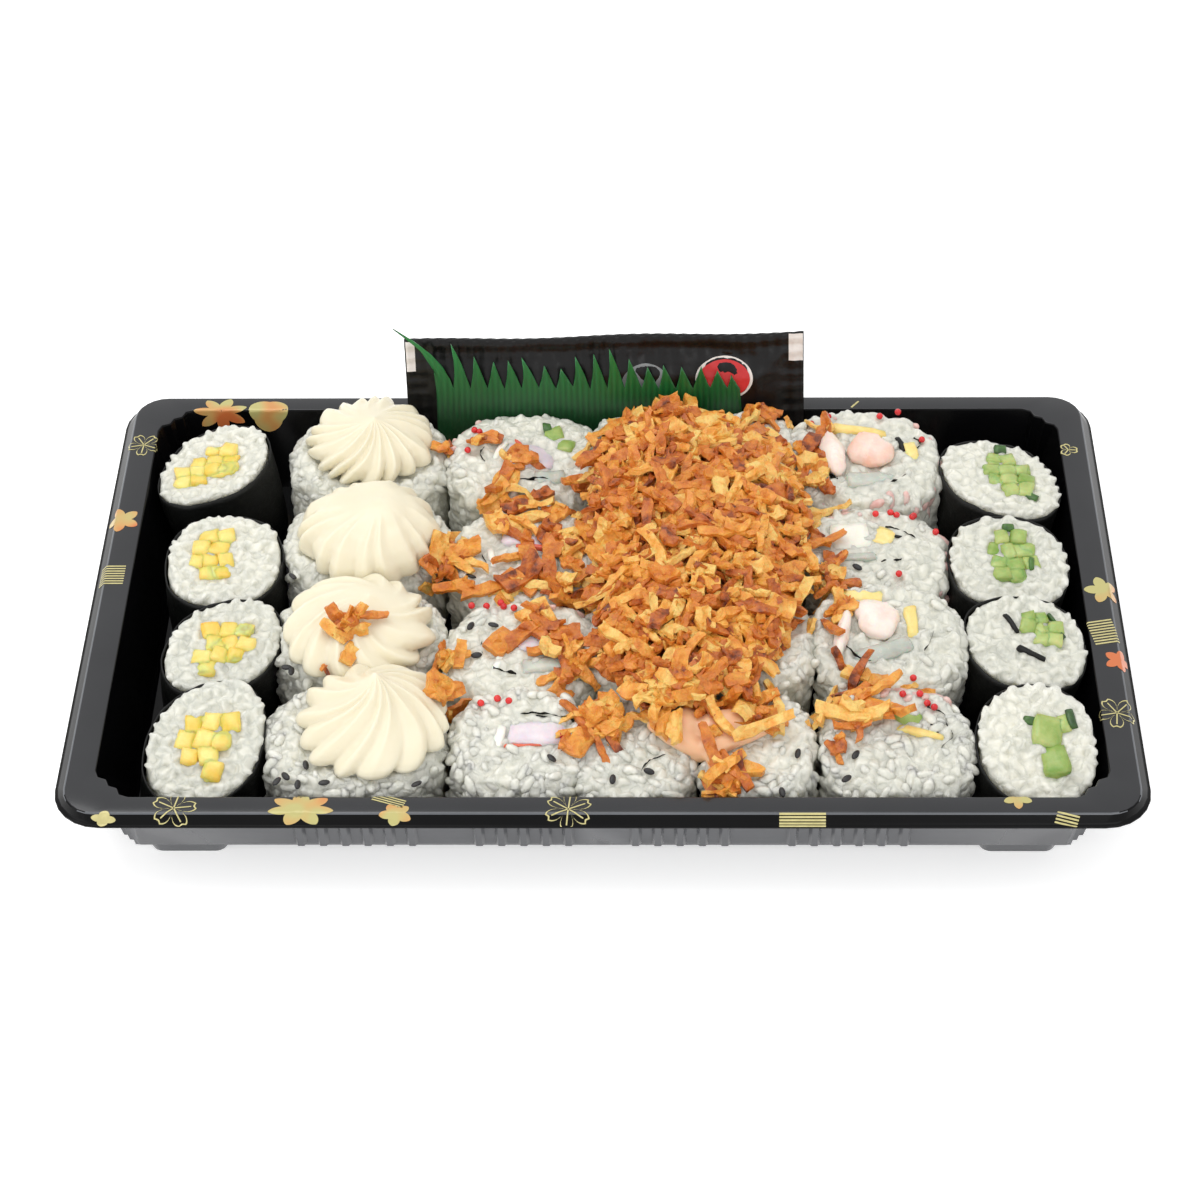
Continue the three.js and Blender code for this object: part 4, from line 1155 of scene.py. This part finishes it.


# zones 1 and 2 get painted reflection, zone 3 a painted highlight
def trayZone(centre, normal):  # 0 inside and lip, 1 rim, 2 outside and underneath, 3 eased edge
    facts = trayFacts
    x, y, z = abs(centre.x / mm), abs(centre.y / mm), centre.z / mm
    down = (facts["rim"] - z) * facts["slope"]
    beyondX, beyondY = (k - inner + down - facts["wall"] for k, inner in
                        zip((x, y), facts["inner"]))
    if z > facts["lipFoot"] - 0.9:
        if z > facts["rim"] - 0.5 and (x > facts["crease"][0] - 0.6 or
                                       y > facts["crease"][1] - 0.6) and normal.z < 0.96:
            return 3
        if z > facts["rim"] - 0.1 and normal.z > 0.9:
            return 1
        return 0
    outward = normal.x * centre.x + normal.y * centre.y > 0
    corner = outward and beyondX + beyondY > -facts["corner"]
    return 2 if beyondX > 0 or beyondY > 0 or corner or z < facts["floor"] - 0.3 else 0


def makeTray():
    shell = mergedCopy("tray")
    bmesh.ops.dissolve_limit(shell, angle_limit=math.radians(0.8), verts=shell.verts,
                             edges=shell.edges, use_dissolve_boundaries=False)
    sharp = [e for e in shell.edges if len(e.link_faces) == 2 and
             e.calc_face_angle() > math.radians(24) and
             min(v.co.z for v in e.verts) > (trayFacts["lipFoot"] - 0.2) * mm and
             abs(e.verts[0].co.z - e.verts[1].co.z) < 0.2 * mm]
    bmesh.ops.bevel(shell, geom=sharp, offset=trayFacts["ease"] * mm, offset_type="OFFSET",
                    segments=3, profile=0.5, affect="EDGES", material=-1)
    bmesh.ops.triangulate(shell, faces=[f for f in shell.faces if len(f.verts) > 4])
    for e in shell.edges:
        e.smooth = len(e.link_faces) == 2 and e.calc_face_angle() < math.radians(34)
    for f in shell.faces:
        f.material_index = trayZone(f.calc_center_median(), f.normal)
    zones = [f.material_index for f in shell.faces]
    made = addPiece("tray_shell", shell, plastics[0], ["tray"])
    for plastic in plastics[1:]:
        made.data.materials.append(plastic)
    made.data.polygons.foreach_set("material_index", zones)
    return made


makeTray()
print("tray made")

# print on the rim: gold and orange leaves, stripes and outline flowers
goldInk = inkFinish("gold print", (176, 166, 108), (222, 212, 150), 0.25, 0.35)
leafInk = Finish("leaf print", {"Metallic": 0.1, "Coat Weight": 0.4, "Coat Roughness": 0.1,
                                "Roughness": 0.35})
leafInk.drive("Base Color", leafInk.ramp(leafInk.grain(95, 1), [
    (0.38, colour(190, 182, 116)), (0.5, colour(208, 158, 92)), (0.62, colour(208, 112, 60))]))
printLift = 0.07


def rimPoint(side, along, across):  # across runs up the inside wall, over the rim and down the lip
    facts = trayFacts
    axis = 0 if side in ("left", "right") else 1
    inner, crease, lip = (facts[k][axis] for k in ("inner", "crease", "lip"))
    rise = printLift
    if across < 0:  # down the inside wall
        out, z = inner + across * facts["slope"] - rise, facts["rim"] + across
    elif across < crease - inner:
        out, z = inner + across, facts["rim"] + rise
    else:
        drop = facts["rim"] - facts["lipBend"]
        length = math.hypot(lip - crease, drop)
        t = (across - crease + inner) / length
        if t < 1:
            out, z = crease + (lip - crease) * t + rise, facts["rim"] - drop * t + rise
        else:  # over the hem
            out = lip + min((t - 1) * length, facts["hem"]) + rise
            z = facts["lipBend"] + 0.1 - max(0, t - 1.2) * length
    sign = -1 if side in ("left", "front") else 1
    return Vector((sign * out, along, z) if axis == 0 else (along, sign * out, z)) * mm


def leafShape(size, points, deep, turn=0.0, narrow=1.0):
    leaf = bmesh.new()
    bmesh.ops.create_grid(leaf, x_segments=points * 12, y_segments=6, size=0.5)
    for v in leaf.verts:
        angle = (v.co.x + 0.5) * 2 * math.pi
        side = abs((angle * points / (2 * math.pi)) % 1 - 0.5) * 2
        lobe = 1 - (1 - side) ** 1.35
        reach = (v.co.y + 0.5) * size / 2 * (1 - deep + deep * lobe)
        v.co = Vector((reach * math.cos(angle + turn), reach * narrow * math.sin(angle + turn), 0))
    bmesh.ops.remove_doubles(leaf, verts=leaf.verts, dist=1e-4)
    return leaf


def outlineFlower(size, petals, line=0.42, turn=0.0):
    flower = bmesh.new()
    bmesh.ops.create_grid(flower, x_segments=petals * 16, y_segments=1, size=0.5)
    for v in flower.verts:
        angle = (v.co.x + 0.5) * 2 * math.pi
        lobe = abs(math.sin(angle * petals / 2)) ** 0.55
        notch = 0.12 * max(0, math.cos(angle * petals * 2))
        reach = size / 2 * (0.2 + 0.8 * lobe - notch * lobe) + v.co.y * line
        v.co = Vector((reach * math.cos(angle + turn), reach * math.sin(angle + turn), 0))
    bmesh.ops.remove_doubles(flower, verts=flower.verts, dist=1e-4)
    for petal in range(petals):
        angle = 2 * math.pi * (petal + 0.5) / petals + turn
        vein = stripeBars(size * 0.36, line * 0.8, 1, 0)
        bmesh.ops.translate(vein, vec=(size * 0.2, 0, 0), verts=vein.verts)
        bmesh.ops.rotate(vein, cent=(0, 0, 0), matrix=Matrix.Rotation(angle, 3, "Z"),
                         verts=vein.verts)
        pour(keepMesh(vein, "vein"), flower)
    return flower


def stripeBars(length, width, count, gap, turn=0.0):
    bars = bmesh.new()
    for index in range(count):
        bar = bmesh.ops.create_grid(bars, x_segments=14, y_segments=2, size=0.5)["verts"]
        bmesh.ops.scale(bars, vec=(length, width, 1), verts=bar)
        bmesh.ops.translate(bars, vec=(0, (index - (count - 1) / 2) * gap, 0), verts=bar)
    bmesh.ops.rotate(bars, cent=(0, 0, 0), matrix=Matrix.Rotation(turn, 3, "Z"), verts=bars.verts)
    return bars


# ink, side, along, across, shape: across is 0 where the inside wall meets the rim
prints = [
    ("leaf", "back", -105.6, -0.6, leafShape(15, 7, 0.5, 0.35, 0.75)),
    ("leaf", "back", -92.6, -0.8, leafShape(11.5, 3, 0.22, 0.5, 0.95)),
    ("gold", "back", 67.5, 2.0, stripeBars(3.4, 0.5, 1, 0, 0.9)),
    ("gold", "left", 58.7, 3.2, outlineFlower(9, 5, turn=0.4)),
    ("leaf", "left", 27.6, 5.2, leafShape(9.6, 5, 0.5, 2.4)),
    ("gold", "left", 5.9, 5.4, stripeBars(7.0, 0.45, 8, 0.95)),
    ("gold", "right", 56.0, 2.0, outlineFlower(5, 3, turn=1.0)),
    ("leaf", "right", -0.2, 5.4, leafShape(10, 5, 0.5, 0.6)),
    ("gold", "right", -16.0, 3.7, stripeBars(6.6, 0.5, 9, 1.0, 0.2)),
    ("leaf", "right", -26.3, 6.6, leafShape(8, 5, 0.45, 1.2)),
    ("gold", "right", -45.2, 3.9, outlineFlower(10.5, 5, turn=0.2)),
    ("gold", "front", -118.0, 6.9, leafShape(6, 4, 0.4, 0.2, 0.7)),
    ("gold", "front", -101.4, 3.9, outlineFlower(11, 5, turn=0.5)),
    ("leaf", "front", -71.2, 3.9, leafShape(16, 7, 0.42, 0.2, 0.62)),
    ("leaf", "front", -48.6, 5.6, leafShape(8, 5, 0.4, 0.5, 0.8)),
    ("gold", "front", -50.4, 1.3, stripeBars(8, 0.35, 4, 0.7, 0.35)),
    ("gold", "front", -7.7, 4.2, outlineFlower(11.5, 6, turn=0.1)),
    ("gold", "front", 47.7, 7.2, stripeBars(11, 0.5, 5, 0.78)),
    ("leaf", "front", 98.8, 0.6, leafShape(7, 5, 0.5, 0.3)),
    ("gold", "front", 110.1, 7.0, stripeBars(5.4, 0.45, 4, 0.85, 0.25)),
]
printed = {"leaf": bmesh.new(), "gold": bmesh.new()}
printEnds = {"inside": -9.0, "endLip": 9.6, "longLip": 9.0}  # how far down the wall and the lip
for ink, side, along, across, shape in prints:
    for v in shape.verts:
        x, y, last = v.co.x, v.co.y, printEnds["longLip"]
        if side in ("left", "right"):
            x, y, last = y, x, printEnds["endLip"]
        v.co = rimPoint(side, along + x, max(printEnds["inside"], min(last, across + y)))
    bmesh.ops.dissolve_degenerate(shape, edges=shape.edges, dist=1e-6)
    pour(keepMesh(shape, "print"), printed[ink])
for ink, finish in (("leaf", leafInk.material), ("gold", goldInk)):
    for f in printed[ink].faces:
        f.normal_update()
        if f.normal.z < 0:
            f.normal_flip()
    addPiece("rim_print_" + ink, printed[ink], finish)
print("print laid")


# camera, floor and lights
view = {"place": (12.3, -597.7, 561.8), "yaw": -1.289, "down": 42.0, "roll": -0.907, "lens": 94.31}


def makeView():
    yaw, down, roll = (math.radians(view[k]) for k in ("yaw", "down", "roll"))
    ahead = Vector((math.sin(yaw), math.cos(yaw), 0))
    right = Vector((math.cos(yaw), -math.sin(yaw), 0))
    forward = ahead * math.cos(down) - up * math.sin(down)
    above = up * math.cos(down) + ahead * math.sin(down)
    side = right * math.cos(roll) + above * math.sin(roll)
    above = above * math.cos(roll) - right * math.sin(roll)
    place = Matrix((side, above, -forward)).transposed().to_4x4()
    place.translation = Vector(view["place"]) * mm
    data = bpy.data.cameras.new("view")
    data.lens, data.sensor_width = view["lens"], 36
    data.clip_start, data.clip_end = 0.05, 20
    made = bpy.data.objects.new("view", data)
    made.matrix_world = place
    scene.collection.objects.link(made)
    scene.camera = made


def softLight(name, place, size, power, aim=(0, 0, 0)):
    data = bpy.data.lights.new(name, "AREA")
    data.shape, data.size, data.energy = "SQUARE", size, power
    made = bpy.data.objects.new(name, data)
    made.location = place
    made.rotation_euler = (Vector(aim) - Vector(place)).to_track_quat("-Z", "Y").to_euler()
    scene.collection.objects.link(made)


makeView()
floorMesh = bmesh.new()
bmesh.ops.create_grid(floorMesh, x_segments=1, y_segments=1, size=4)
floor = bpy.data.objects.new("floor", bpy.data.meshes.new("floor"))
floorMesh.to_mesh(floor.data)
floorMesh.free()
floorFinish = Finish("floor", {"Base Color": (0.95, 0.95, 0.95, 1), "Roughness": 0.7,
                               "Emission Color": (1, 1, 1, 1), "Emission Strength": 0.45,
                               "Specular IOR Level": 0.1})
floor.data.materials.append(floorFinish.material)
scene.collection.objects.link(floor)
softLight("overhead", (-0.35, 0.15, 1.2), 0.9, 5.2)
softLight("left", (-1.1, -0.6, 0.6), 0.9, 2.2)
softLight("front", (0.7, -1.1, 0.9), 0.8, 2.5)
world = bpy.data.worlds.new("studio")
scene.world = world
world.use_nodes = True
world.node_tree.nodes["Background"].inputs["Color"].default_value = (1, 1, 1, 1)
world.node_tree.nodes["Background"].inputs["Strength"].default_value = 0.88
scene.view_settings.view_transform = "Standard"

print("done")
